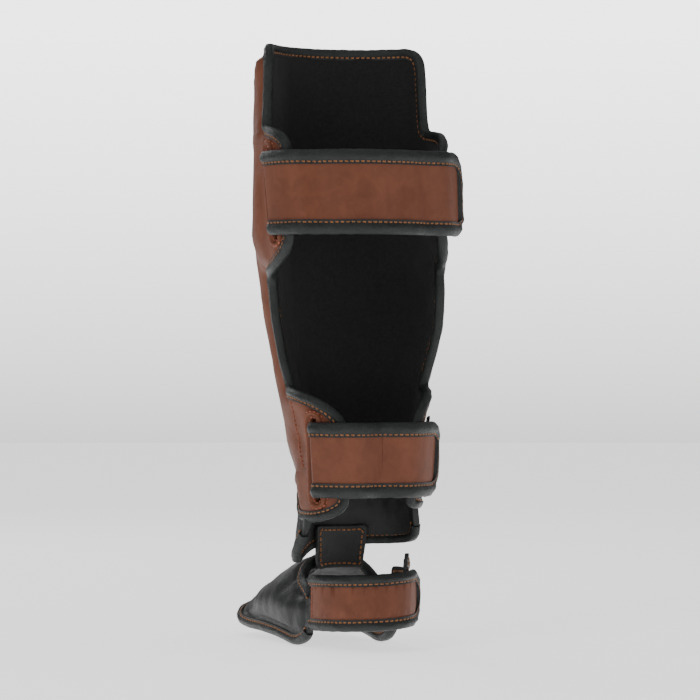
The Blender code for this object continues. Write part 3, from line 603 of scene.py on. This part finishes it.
def threadMaterial(name, dark, light):
    material, tree, shader = newMaterial(name, 0.55, 0.2)
    coord = tree.nodes.new("ShaderNodeTexCoord")
    twist = add(tree, "ShaderNodeTexNoise", Scale=900.0, Detail=3.0)
    tree.links.new(coord.outputs["Object"], twist.inputs["Vector"])
    tree.links.new(ramp(tree, twist.outputs["Fac"], 0.35, 0.65, (dark, light)), shader.inputs["Base Color"])
    bump = tree.nodes.new("ShaderNodeBump")
    bump.inputs["Strength"].default_value = 0.5
    bump.inputs["Distance"].default_value = 0.0002
    tree.links.new(twist.outputs["Fac"], bump.inputs["Height"])
    tree.links.new(bump.outputs["Normal"], shader.inputs["Normal"])
    return material


brownLeather = leatherMaterial("brownLeather", {
    "dark": (0.138, 0.047, 0.026), "light": (0.168, 0.059, 0.033), "roughness": (0.46, 0.56), "cells": 1500.0,
    "creases": 90.0, "creaseDepth": 0.10, "bump": 0.30, "specular": 0.16})
blackLeather = leatherMaterial("blackLeather", {
    "dark": (0.019, 0.020, 0.020), "light": (0.030, 0.032, 0.031), "roughness": (0.36, 0.50), "cells": 1100.0,
    "creases": 110.0, "creaseDepth": 0.45, "bump": 0.55, "specular": 0.24})
tapeLeather = leatherMaterial("tapeLeather", {
    "dark": (0.013, 0.015, 0.015), "light": (0.024, 0.026, 0.026), "roughness": (0.34, 0.46), "cells": 1300.0,
    "creases": 220.0, "creaseDepth": 0.8, "bump": 0.8, "specular": 0.26})
liningCloth = clothMaterial("liningCloth", {
    "dark": (0.005, 0.005, 0.005), "light": (0.010, 0.010, 0.010), "roughness": 0.85, "sheen": 0.06,
    "yarns": 500.0, "bump": 0.5})
loopCloth = clothMaterial("loopCloth", {
    "dark": (0.004, 0.004, 0.004), "light": (0.020, 0.020, 0.020), "roughness": 0.95, "sheen": 0.25,
    "yarns": 700.0, "bump": 1.0})
tapeThread = threadMaterial("tapeThread", (0.20, 0.074, 0.018), (0.40, 0.16, 0.046))
panelThread = threadMaterial("panelThread", (0.26, 0.060, 0.026), (0.42, 0.115, 0.052))
print("materials made")


# Padded pieces

def creaseRims(piece, sharp=58.0, shortest=0.0):
    work = bmesh.new()
    work.from_mesh(piece.data)
    layer = work.edges.layers.float.get("crease_edge") or work.edges.layers.float.new("crease_edge")
    for edge in work.edges:
        if len(edge.link_faces) != 2:
            continue
        if edge.calc_face_angle() > math.radians(sharp) and edge.calc_length() > shortest:
            edge[layer] = 1.0
    work.to_mesh(piece.data)
    work.free()


def subdivide(piece, levels, fit=0):
    # fit pushes the corners out first, so that the rounded skin still passes through where they were
    farthest = 0.0024
    goal = coordsOf(piece)
    cage = goal.copy()
    for _ in range(fit):
        pick(piece)
        bpy.ops.object.duplicate()
        trial = bpy.context.view_layer.objects.active
        applied(trial, "SUBSURF", levels=levels, render_levels=levels, subdivision_type="CATMULL_CLARK")
        cage += 0.9 * (goal - coordsOf(trial)[:len(goal)])
        removePiece(trial)
        push = cage - goal
        far = np.maximum(np.linalg.norm(push, axis=1, keepdims=True), 1e-9)
        cage = goal + push * np.minimum(1.0, farthest / far)
        setCoords(piece, cage)
    return applied(piece, "SUBSURF", levels=levels, render_levels=levels, subdivision_type="CATMULL_CLARK")


def distanceTo(lines, points):
    # distance of each point from the nearest of some closed lines
    dense = np.vstack([respace(line, [], 0.0008)[0] for line in lines])
    tree = KDTree(len(dense))
    for i, point in enumerate(dense):
        tree.insert(point, i)
    tree.balance()
    return np.array([tree.find(Vector(p))[2] for p in points])


def relax(piece, free, passes):
    # evens out a surface where it is free, each pull inward followed by a push back out
    coords = coordsOf(piece)
    edges = np.array([e.vertices[:] for e in piece.data.edges])
    count = np.zeros(len(coords))
    np.add.at(count, edges.ravel(), 1)
    for factor in (0.6, -0.62) * passes:
        total = np.zeros_like(coords)
        np.add.at(total, edges[:, 0], coords[edges[:, 1]])
        np.add.at(total, edges[:, 1], coords[edges[:, 0]])
        target = total / count[:, None]
        coords = coords + (target - coords) * (factor * free)[:, None]
    setCoords(piece, coords)


def swell(piece, free, settings):
    # cloth under pressure, held where it is sewn
    start = coordsOf(piece)
    setCoords(piece, start - normalsOf(piece) * (free * settings["shrink"])[:, None])
    group = piece.vertex_groups.new(name="sewn")
    for i, value in enumerate(1.0 - np.clip(free, 0.0, 1.0)):
        group.add([i], float(value), "REPLACE")
    pick(piece)
    cloth = piece.modifiers.new("cloth", "CLOTH")
    cloth.settings.quality = 5
    cloth.settings.mass = 0.3
    cloth.settings.tension_stiffness = settings["stiff"]
    cloth.settings.compression_stiffness = settings["stiff"]
    cloth.settings.shear_stiffness = settings["stiff"] / 3
    cloth.settings.bending_stiffness = settings["bend"]
    cloth.settings.use_pressure = True
    cloth.settings.uniform_pressure_force = settings["pressure"]
    cloth.settings.vertex_group_mass = "sewn"
    cloth.settings.effector_weights.gravity = 0.0
    cloth.collision_settings.use_collision = False
    cloth.point_cache.frame_start = 1
    cloth.point_cache.frame_end = settings["frames"]
    for step in range(1, settings["frames"] + 1):
        bpy.context.scene.frame_set(step)
    bpy.ops.object.modifier_apply(modifier=cloth.name)
    bpy.context.scene.frame_set(1)
    moved = coordsOf(piece) - start
    far = np.linalg.norm(moved, axis=1, keepdims=True)
    setCoords(piece, start + moved * np.minimum(1.0, settings["cap"] / np.maximum(far, 1e-9)))
    piece.vertex_groups.clear()
    print("swelled", piece.name, "most", round(float(far.max()) * 1000, 2), "mm")


def surfaceProbe(nodeName):
    # distance from a CAD node's surface, used to find which way a sheet lies
    tree = surfaceOf(frame["nodes"][nodeName])

    def probe(points):
        return sum(tree.find_nearest(Vector(p))[3] for p in points)

    return probe


def turnOf(points):
    # angle round the upright axis in degrees, 0 at the front, 90 on the slotted side, 180 behind
    return np.degrees(np.arctan2(points[:, 0], -points[:, 1])) % 360.0


# Shin panel: brown padded front and sides, sewn at its rim, slots and channels

panel = {
    "levels": 2, "linesFree": 0.012, "relax": 8, "smooth": 10, "crown": 0.0046,
    "swell": {"shrink": 0.0008, "pressure": 4.0, "stiff": 14.0, "bend": 1.5, "frames": 14, "cap": 0.0034},
    "weltAt": 0.0043, "weltWide": 0.0024, "weltRise": 0.0011,
    "rowsAt": (0.0016, 0.0070), "rowWide": 0.0011, "rowDeep": 0.0009,
    "channelTurns": (-34.0, 34.0),
}

liningOuter, liningInner = broadFaces("shin_lining")
shinTop, shinLow = rimPairs(liningOuter[0][0], liningInner[0][0])
slotLoops = [loop for loop, normals in liningOuter[1:]]
print("rims", [round(lineLength(loop), 3) for loop, normals in liningOuter])


def slotLines(lift):
    # outer rims of the two slots, raised to the panel's skin
    lines = []
    for loop in slotLoops:
        lines.append(loop + outward(loop) * lift)
    return lines


def makePanel():
    piece = copyNode("shin_panel", "panelLeather")
    creaseRims(piece)
    subdivide(piece, panel["levels"] - 1, fit=3)
    coords = coordsOf(piece)
    rimGap = distanceTo([shinTop], coords)
    slotGap = distanceTo(slotLines(0.004), coords)
    outer = np.sum(normalsOf(piece) * outward(coords), axis=1)
    free = np.clip((rimGap - 0.009) / panel["linesFree"], 0, 1)
    free = free * np.clip((slotGap - 0.009) / panel["linesFree"], 0, 1) * np.clip(outer * 2.0, 0, 1)
    relax(piece, free, panel["relax"])
    swell(piece, free, panel["swell"])
    relax(piece, np.clip(free + 0.25 * (outer > 0.3) * (rimGap > 0.007) * (slotGap > 0.008), 0, 1), panel["smooth"])
    subdivide(piece, 1)
    coords = coordsOf(piece)
    normals = normalsOf(piece)
    outer = np.clip(np.sum(normals * outward(coords), axis=1) * 3.0, 0, 1)
    slotGap = distanceTo(slotLines(0.006), coords)
    lift = panel["weltRise"] * np.exp(-((slotGap - panel["weltAt"]) / panel["weltWide"]) ** 2)
    for row in panel["rowsAt"]:
        lift -= panel["rowDeep"] * np.exp(-((slotGap - row) / panel["rowWide"]) ** 2)
    lift[slotGap > 0.03] = 0.0
    rimGap = distanceTo([shinTop + (shinTop - shinLow) * 2.6], coords)
    side = (turnOf(coords) + 180.0) % 360.0 - 180.0
    full = np.clip((side + 78.0) / 26.0, 0, 1) * np.clip((94.0 - side) / 22.0, 0, 1)
    full = full * np.clip((rimGap - 0.004) / 0.036, 0, 1) * np.clip((slotGap - 0.009) / 0.016, 0, 1)
    lift += panel["crown"] * full * full * (3.0 - 2.0 * full)
    for i in np.nonzero(outer > 0)[0]:
        p = coords[i]
        pucker = noise.noise(Vector(p * 95.0)) * 0.00035
        pucker += noise.noise(Vector((p[0] * 40, p[1] * 40, p[2] * 13))) * 0.0007
        lift[i] += pucker * min(1.0, max(0.0, (rimGap[i] - 0.006) / 0.012)) * min(1.0, slotGap[i] / 0.014)
    setCoords(piece, coords + normals * (lift * outer)[:, None])
    shadeSoft(piece, 62)
    dress(piece, brownLeather, "brown_leather", "shin_panel")
    print("panel made", len(piece.data.polygons))
    return piece


def makeLining():
    piece = copyNode("shin_lining", "panelLining")
    creaseRims(piece)
    subdivide(piece, 2, fit=3)
    coords = coordsOf(piece)
    fold = np.array([noise.noise(Vector((p[0] * 34, p[1] * 34, p[2] * 11))) for p in coords])
    fine = np.array([noise.noise(Vector(p * 120.0)) for p in coords])
    rimGap = distanceTo([shinLow], coords)
    inwardShift = 0.0006 + np.clip((rimGap - 0.006) / 0.02, 0, 1) * (0.0004 + 0.0007 * fold + 0.0002 * fine)
    setCoords(piece, coords - outward(coords) * inwardShift[:, None])
    shadeSoft(piece, 62)
    dress(piece, liningCloth, "lining_fabric", "shin_lining")
    print("lining made")
    return piece


panelPiece = makePanel()
liningPiece = makeLining()

# Tapes: black leather folded round every cut edge

shinTape = {"step": 0.0021, "puff": 0.0009, "wrinkle": 0.0008, "seam": 0.0019, "probe": surfaceProbe("shin_panel")}
threadRows = []
innerRows = []
panelRows = []


def onSurface(tree, points, lift, closed):
    # drops points onto a piece from outside it
    placed = []
    normals = []
    for p, out in zip(points, outward(points)):
        hit = tree.ray_cast(Vector(p + out * 0.05), Vector(-out))
        if hit[0] is None:
            hit = tree.find_nearest(Vector(p))
        placed.append(hit[0] + hit[1] * lift)
        normals.append(hit[1][:])
    return np.array(placed), np.array(normals), closed


def tapePiece(name, top, low, closed, width, settings, seed, slotName, node):
    piece, outerRow, innerRow = sewTape(name, top, low, closed, width, settings, seed)
    dress(piece, tapeLeather, slotName, node)
    threadRows.append((*outerRow, closed))
    innerRows.append((*innerRow, closed))
    print(name, "made", len(piece.data.polygons))
    return piece


panelEdge = 0.0046  # thickness of panel and lining together at their rim
shinNormal = unit(shinTop - shinLow)
tapePiece(
    "panelTape", shinLow + shinNormal * panelEdge, shinLow, True, 0.0072, shinTape, 1.0,
    "black_leather", "shin_binding")


def visibleRim(nodeName):
    # the rim of a strap's outer layer, in order from one end of its fold or seam to the other
    (loop, normals), = broadFaces(nodeName)[0][:1]
    low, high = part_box(nodeName)
    middle = 0.5 * (low.z + high.z)
    half = 0.5 * (high.z - low.z)
    turns = turnOf(loop)
    upper = np.where(loop[:, 2] > middle + 0.45 * half, turns, 999.0).argmin()
    lower = np.where(loop[:, 2] < middle - 0.45 * half, turns, 999.0).argmin()
    count = len(loop)
    runs = []
    for first, last in ((upper, lower), (lower, upper)):
        runs.append([(first + k) % count for k in range((last - first) % count + 1)])
    lengths = [lineLength(loop[run], False) for run in runs]
    radii = [np.linalg.norm(loop[run, :2], axis=1).mean() for run in runs]
    if min(lengths) < 0.3 * max(lengths):
        best = runs[int(np.argmax(lengths))]
    else:
        best = runs[int(np.argmax(radii))]
    print(nodeName, "rim", count, [round(v, 3) for v in lengths], [round(v, 4) for v in radii])
    return loop[best], normals[best]


def longestRun(keep):
    # indices of the longest run of kept points round a closed loop
    count = len(keep)
    best = []
    for start in range(count):
        if keep[start] and not keep[start - 1]:
            run = [start]
            while keep[(run[-1] + 1) % count] and len(run) < count:
                run.append((run[-1] + 1) % count)
            if len(run) > len(best):
                best = run
    return np.array(best, dtype=int)


# Straps: flat brown leather with a puffed tape round the visible layer

strap = {
    "thick": 0.0025, "tapeWidth": 0.0100, "heelTapeWidth": 0.0078, "looseTurn": 28.0,
    "seamReach": 0.004, "seamIn": 0.0026, "seamPull": 0.9, "tapeRunOn": 0.003}
strapTape = dict(shinTape, puff=0.0012, seam=0.0020)


def looseEnd(piece, fromTurn):
    # vertices of a strap's free end: the outermost part of it past a turn
    coords = coordsOf(piece)
    past = turnOf(coords) > fromTurn
    links = {}
    for edge in piece.data.edges:
        a, b = edge.vertices
        if past[a] and past[b]:
            links.setdefault(a, []).append(b)
            links.setdefault(b, []).append(a)
    reach = np.where(past, np.linalg.norm(coords[:, :2], axis=1), 0.0)
    found = {int(reach.argmax())}
    walk = list(found)
    for vertex in walk:
        for other in links.get(vertex, []):
            if other not in found:
                found.add(other)
                walk.append(other)
    return np.array(sorted(found))


def springOut(points, end, spring):
    # how far the free end stands out from its closed place
    share = np.clip(1.0 - (end - turnOf(points)) / strap["looseTurn"], 0.0, 1.0)
    return spring * share ** 2


def makeStrap(nodeName, name, width, spring, seed):
    piece = copyNode(nodeName, name)
    creaseRims(piece, 60.0)
    subdivide(piece, 2, fit=3)
    coords = coordsOf(piece)
    lift = np.array([0.00035 * noise.noise(Vector((p[0] * 30, p[1] * 30, p[2] * 22 + seed))) for p in coords])
    coords = coords + normalsOf(piece) * lift[:, None]
    top, normal = visibleRim(nodeName)
    end = turnOf(top).max()
    loose = looseEnd(piece, end - strap["looseTurn"])
    coords[loose] += outward(coords[loose]) * springOut(coords[loose], end, spring)[:, None]
    top = top + outward(top) * springOut(top, end, spring)[:, None]
    if nodeName == "heel_strap":
        pad = surfaceOf(frame["nodes"]["instep_pad"])
        for i, p in enumerate(coords):
            place, _, _, gap = pad.find_nearest(Vector(p))
            if gap < strap["seamReach"]:
                coords[i] += (np.array(place) - p) * strap["seamPull"]
        # its tape runs on to the pad, and a seam crosses it there
        starts = [unit(top[0] - top[1]), unit(top[-1] - top[-2])]
        seam = np.linspace(top[0] - starts[0] * strap["seamIn"], top[-1] - starts[1] * strap["seamIn"], 14)[1:-1]
        top = np.vstack([top[0] + starts[0] * strap["tapeRunOn"], top, top[-1] + starts[1] * strap["tapeRunOn"]])
        normal = np.vstack([normal[:1], normal, normal[-1:]])
    setCoords(piece, coords)
    shadeSoft(piece, 50)
    if nodeName == "heel_strap":
        panelRows.append(onSurface(surfaceOf(piece), seam, 0.0001, False))
    dress(piece, brownLeather, "brown_leather", nodeName)
    settings = dict(strapTape, probe=surfaceProbe(nodeName))
    tapePiece(
        name.replace("Leather", "Tape"), top, top - normal * strap["thick"], False, width, settings, seed,
        "black_leather", nodeName + "_binding")
    return piece


upperStrapPiece = makeStrap("upper_strap", "upperStrapLeather", strap["tapeWidth"], 0.0050, 3.0)
lowerStrapPiece = makeStrap("lower_strap", "lowerStrapLeather", strap["tapeWidth"], 0.0030, 5.0)
heelStrapPiece = makeStrap("heel_strap", "heelStrapLeather", strap["heelTapeWidth"], 0.0030, 8.0)

# Ankle section and instep pad: black padded leather

ankle = {"levels": 2, "tuck": 0.0060, "tuckReach": 0.014, "folds": 0.0011, "foldCount": 26}
instep = {
    "levels": 2, "seamGap": 0.006,
    "swell": {"shrink": 0.001, "pressure": 4.0, "stiff": 12.0, "bend": 0.6, "frames": 16, "cap": 0.005}}


def makeAnkle():
    piece = copyNode("ankle_guard", "ankleLeather")
    creaseRims(piece)
    subdivide(piece, ankle["levels"], fit=3)
    coords = coordsOf(piece)
    normals = normalsOf(piece)
    turns = np.radians(turnOf(coords))
    outer = np.clip(np.sum(normals * outward(coords), axis=1) * 3.0, 0, 1)
    low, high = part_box("ankle_guard")
    rise = np.clip((coords[:, 2] - low.z - 0.010) / 0.012, 0, 1)
    outerRims, innerRims = broadFaces("ankle_guard")
    top, under = rimPairs(outerRims[0][0], innerRims[0][0])
    tree = surfaceOf(frame["nodes"]["ankle_binding"])
    near = np.array([tree.find_nearest(Vector(p))[3] < 0.0012 for p in top])
    tucked = KDTree(int(np.sum(~near)))
    for i, p in enumerate(top[~near]):
        tucked.insert(p, i)
    tucked.balance()
    for i, p in enumerate(coords):
        # the upper edge goes up behind the panel's tape
        share = max(0.0, 1.0 - tucked.find(Vector(p))[2] / ankle["tuckReach"])
        coords[i, 2] += share * ankle["tuck"]
    lift = np.zeros(len(coords))
    for i, p in enumerate(coords):
        sway = noise.noise(Vector((p[2] * 40, turns[i] * 3.0, 1.3))) * 0.9
        wave = math.sin(turns[i] * ankle["foldCount"] * 0.9 + sway * 2.2)
        lift[i] = ankle["folds"] * (0.65 * wave + 0.5 * noise.noise(Vector((p[0] * 75, p[1] * 75, p[2] * 22))))
    setCoords(piece, coords + normals * (lift * outer * rise)[:, None])
    shadeSoft(piece, 62)
    dress(piece, blackLeather, "black_leather", "ankle_guard")
    run = longestRun(near)
    settings = dict(shinTape, probe=surfaceProbe("ankle_guard"), wrinkle=0.0007)
    tapePiece("ankleTape", top[run], under[run], False, 0.0072, settings, 11.0, "black_leather", "ankle_binding")
    print("ankle made")
    return piece


def makeInstep():
    piece = copyNode("instep_pad", "instepLeather")
    creaseRims(piece)
    subdivide(piece, instep["levels"], fit=3)
    outerRims, innerRims = broadFaces("instep_pad")
    top, low = rimPairs(outerRims[0][0], innerRims[0][0])
    coords = coordsOf(piece)
    rimGap = distanceTo([top], coords)
    centre = np.array([np.mean(coords[:, 0]), 0, np.min(coords[:, 2]) + 0.01])
    direction = coords - centre
    direction[:, 1] = 0
    outer = np.clip(np.sum(normalsOf(piece) * unit(direction), axis=1) * 3.0, 0, 1)
    free = np.clip((rimGap - 0.0085) / 0.010, 0, 1) * outer
    relax(piece, free, 6)
    swell(piece, free, instep["swell"])
    subdivide(piece, 1)
    coords = coordsOf(piece)
    normals = normalsOf(piece)
    rimGap = distanceTo([top], coords)
    direction = coords - centre
    direction[:, 1] = 0
    outer = np.clip(np.sum(normals * unit(direction), axis=1) * 3.0, 0, 1)
    apexZ = coords[:, 2].max()
    lift = np.zeros(len(coords))
    for i in np.nonzero(outer > 0)[0]:
        p = coords[i]
        side = math.copysign(1.0, p[0] - centre[0])
        fan = math.atan2(apexZ + 0.004 - p[2], -(p[1] + 0.030))
        reach = math.hypot(apexZ + 0.004 - p[2], p[1] + 0.030)
        sway = noise.noise(Vector((p[1] * 30, p[2] * 30, side * 4.0)))
        wave = math.sin(fan * 8.0 + sway * 2.4)
        fade = max(0.0, 1.0 - abs(reach - 0.035) / 0.04)
        lift[i] = 0.0007 * wave * fade + 0.0006 * noise.noise(Vector((p[0] * 40, p[1] * 45, p[2] * 45)))
        groove = math.exp(-((rimGap[i] - 0.0095) / 0.0022) ** 2)
        lift[i] -= 0.0014 * groove
    setCoords(piece, coords + normals * (lift * outer * np.clip((rimGap - 0.006) / 0.004, 0, 1))[:, None])
    shadeSoft(piece, 62)
    dress(piece, blackLeather, "black_leather", "instep_pad")
    settings = dict(shinTape, probe=surfaceProbe("instep_pad"), wrinkle=0.0008, puff=0.0010)
    heel = surfaceOf(frame["nodes"]["heel_strap"])
    clear = np.array([heel.find_nearest(Vector(p))[3] > instep["seamGap"] for p in top])
    run = longestRun(clear)
    tapePiece("instepTape", top[run], low[run], False, 0.0072, settings, 14.0, "black_leather", "instep_binding")
    print("instep made")
    return piece


def makeSoftPart(nodeName, name, material, slotName, ripple, seed, stitched=True):
    # smaller soft parts: the CAD sheet rounded off, slightly rippled and stitched round
    piece = copyNode(nodeName, name)
    creaseRims(piece, 58.0, 0.0035)
    subdivide(piece, 3, fit=1)
    coords = coordsOf(piece)
    lift = np.array([ripple * noise.noise(Vector((p[0] * 60 + seed, p[1] * 60, p[2] * 60))) for p in coords])
    setCoords(piece, coords + normalsOf(piece) * lift[:, None])
    shadeSoft(piece, 60)
    for loops in broadFaces(nodeName):
        for loop, normals in loops[:1] if stitched else []:
            edge, normal = respace(loop, [normals], 0.002)
            inner = unit(np.cross(unit(normal), tangents(edge)))
            if np.sum(inner * (edge.mean(axis=0) - edge)) < 0:
                inner = -inner
            row = smoothRows(edge + inner * 0.0034, 8)
            threadRows.append((row + unit(normal) * 0.0001, unit(normal), True))
    dress(piece, material, slotName, nodeName)
    return piece


anklePiece = makeAnkle()
instepPiece = makeInstep()
linkPiece = makeSoftPart("instep_link", "instepTongue", blackLeather, "black_leather", 0.0008, 2.0)
underlapPiece = makeSoftPart("heel_underlap", "heelTab", blackLeather, "black_leather", 0.0005, 4.0)
loopPiece = makeSoftPart("lower_loop_patch", "loopPatch", loopCloth, "loop_fabric", 0.0003, 6.0, False)

# Threads

tapeStitches = sewThread("tapeThread", threadRows + innerRows)
dress(tapeStitches, tapeThread, "black_leather")


def ringRow(loop, distance, lift):
    # a row of stitches round a slot, a set distance outside its edge, laid on the panel
    away = outward(loop)
    centre = loop.mean(axis=0)
    along = tangents(loop)
    across = unit(np.cross(away, along))
    if np.sum(across * (loop - centre)) < 0:
        across = -across
    points = smoothRows(loop + across * distance, 2)
    return onSurface(panelTree, points, lift, True)


panelTree = surfaceOf(panelPiece)
for loop in slotLoops:
    evenLoop = respace(loop, [], 0.0015)[0]
    for distance in panel["rowsAt"]:
        panelRows.append(ringRow(evenLoop, distance, 0.0001))


def pointsRound(turns, heights):
    angle = np.radians(turns)
    return np.stack([0.06 * np.sin(angle), -0.06 * np.cos(angle), heights], axis=1)


sideRow = {"turns": (78.0, 80.0, 83.0, 86.0), "heights": (0.133, 0.115, 0.095, 0.076)}
side = pointsRound(np.array(sideRow["turns"]), np.array(sideRow["heights"]))
panelRows.append(onSurface(panelTree, respace(side, [], 0.003, False)[0], 0.0001, False))
for turn in panel["channelTurns"]:
    heights = np.linspace(0.10, 0.385, 60)
    panelRows.append(onSurface(panelTree, pointsRound(np.full(60, turn), heights), 0.0001, False))
panelStitches = sewThread("panelThread", panelRows, pitch=0.0036, thick=0.85, length=0.85)
dress(panelStitches, panelThread, "brown_leather")
print("threads sewn")

# Stage: floor, soft light and the camera at the photograph's angle

stage = {
    "azimuth": 155.0, "distance": 2.7, "middle": 0.168, "across": 0.560, "shiftX": 0.006,
    "floorGap": 0.0004, "skyLight": 0.32, "backdrop": (1.25, 3.6), "floorGlow": 1.15,
}


def makeCamera():
    data = bpy.data.cameras.new("photoCamera")
    data.sensor_width = 36.0
    data.lens = 36.0 * stage["distance"] / stage["across"]
    camera = bpy.data.objects.new("photoCamera", data)
    bpy.context.scene.collection.objects.link(camera)
    angle = math.radians(stage["azimuth"])
    toward = Vector((math.sin(angle), -math.cos(angle), 0))
    right = up.cross(toward).normalized()
    target = Vector((0, 0, stage["middle"])) - right * stage["shiftX"]
    camera.location = target + toward * stage["distance"]
    camera.rotation_euler = (-toward).to_track_quat("-Z", "Y").to_euler()
    bpy.context.scene.camera = camera
    return toward, right, target


def areaLight(name, place, target, size, power):
    data = bpy.data.lights.new(name, "AREA")
    data.shape = "SQUARE"
    data.size = size
    data.energy = power
    light = bpy.data.objects.new(name, data)
    bpy.context.scene.collection.objects.link(light)
    light.location = place
    light.rotation_euler = (target - place).to_track_quat("-Z", "Y").to_euler()


toward, right, target = makeCamera()
areaLight("keyLight", target + toward * 1.6 - right * 1.1 + up * 1.2, target, 0.9, 10.5)
areaLight("fillLight", target + toward * 1.4 + right * 1.5 + up * 0.2, target, 1.0, 4.0)
areaLight("topLight", target + up * 2.0, target, 1.2, 6.0)
areaLight("rimLight", target - toward * 1.5 - right * 0.9 + up * 0.9, target, 1.0, 6.0)

world = bpy.data.worlds.new("studio")
world.use_nodes = True
sky = world.node_tree
sky.nodes["Background"].inputs["Color"].default_value = (1, 1, 1, 1)
seen = sky.nodes.new("ShaderNodeLightPath").outputs["Is Camera Ray"]
split = sky.nodes.new("ShaderNodeSeparateXYZ")
sky.links.new(sky.nodes.new("ShaderNodeTexCoord").outputs["Generated"], split.inputs["Vector"])
height = math2(sky, "MULTIPLY", math2(sky, "ADD", split.outputs["Z"], 0.030), 8.0, True)
lowGlow, highGlow = stage["backdrop"]
glow = math2(sky, "ADD", math2(sky, "MULTIPLY", height, highGlow - lowGlow), lowGlow - stage["skyLight"])
sky.links.new(
    math2(sky, "ADD", math2(sky, "MULTIPLY", seen, glow), stage["skyLight"]),
    sky.nodes["Background"].inputs["Strength"])
bpy.context.scene.world = world

deselect()
bpy.ops.mesh.primitive_circle_add(
    vertices=64, radius=6.0, fill_type="NGON", location=(0, 0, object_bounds()[0][2] - stage["floorGap"]))
floor = bpy.context.view_layer.objects.active
floor.name = "floor"
floorPaint, floorTree, floorShader = newMaterial("floorPaint", 0.9)
floorShader.inputs["Base Color"].default_value = (0.92, 0.92, 0.92, 1)
floorShader.inputs["Emission Color"].default_value = (1, 1, 1, 1)
floorShader.inputs["Emission Strength"].default_value = stage["floorGlow"]
floor.data.materials.append(floorPaint)
print("stage set")
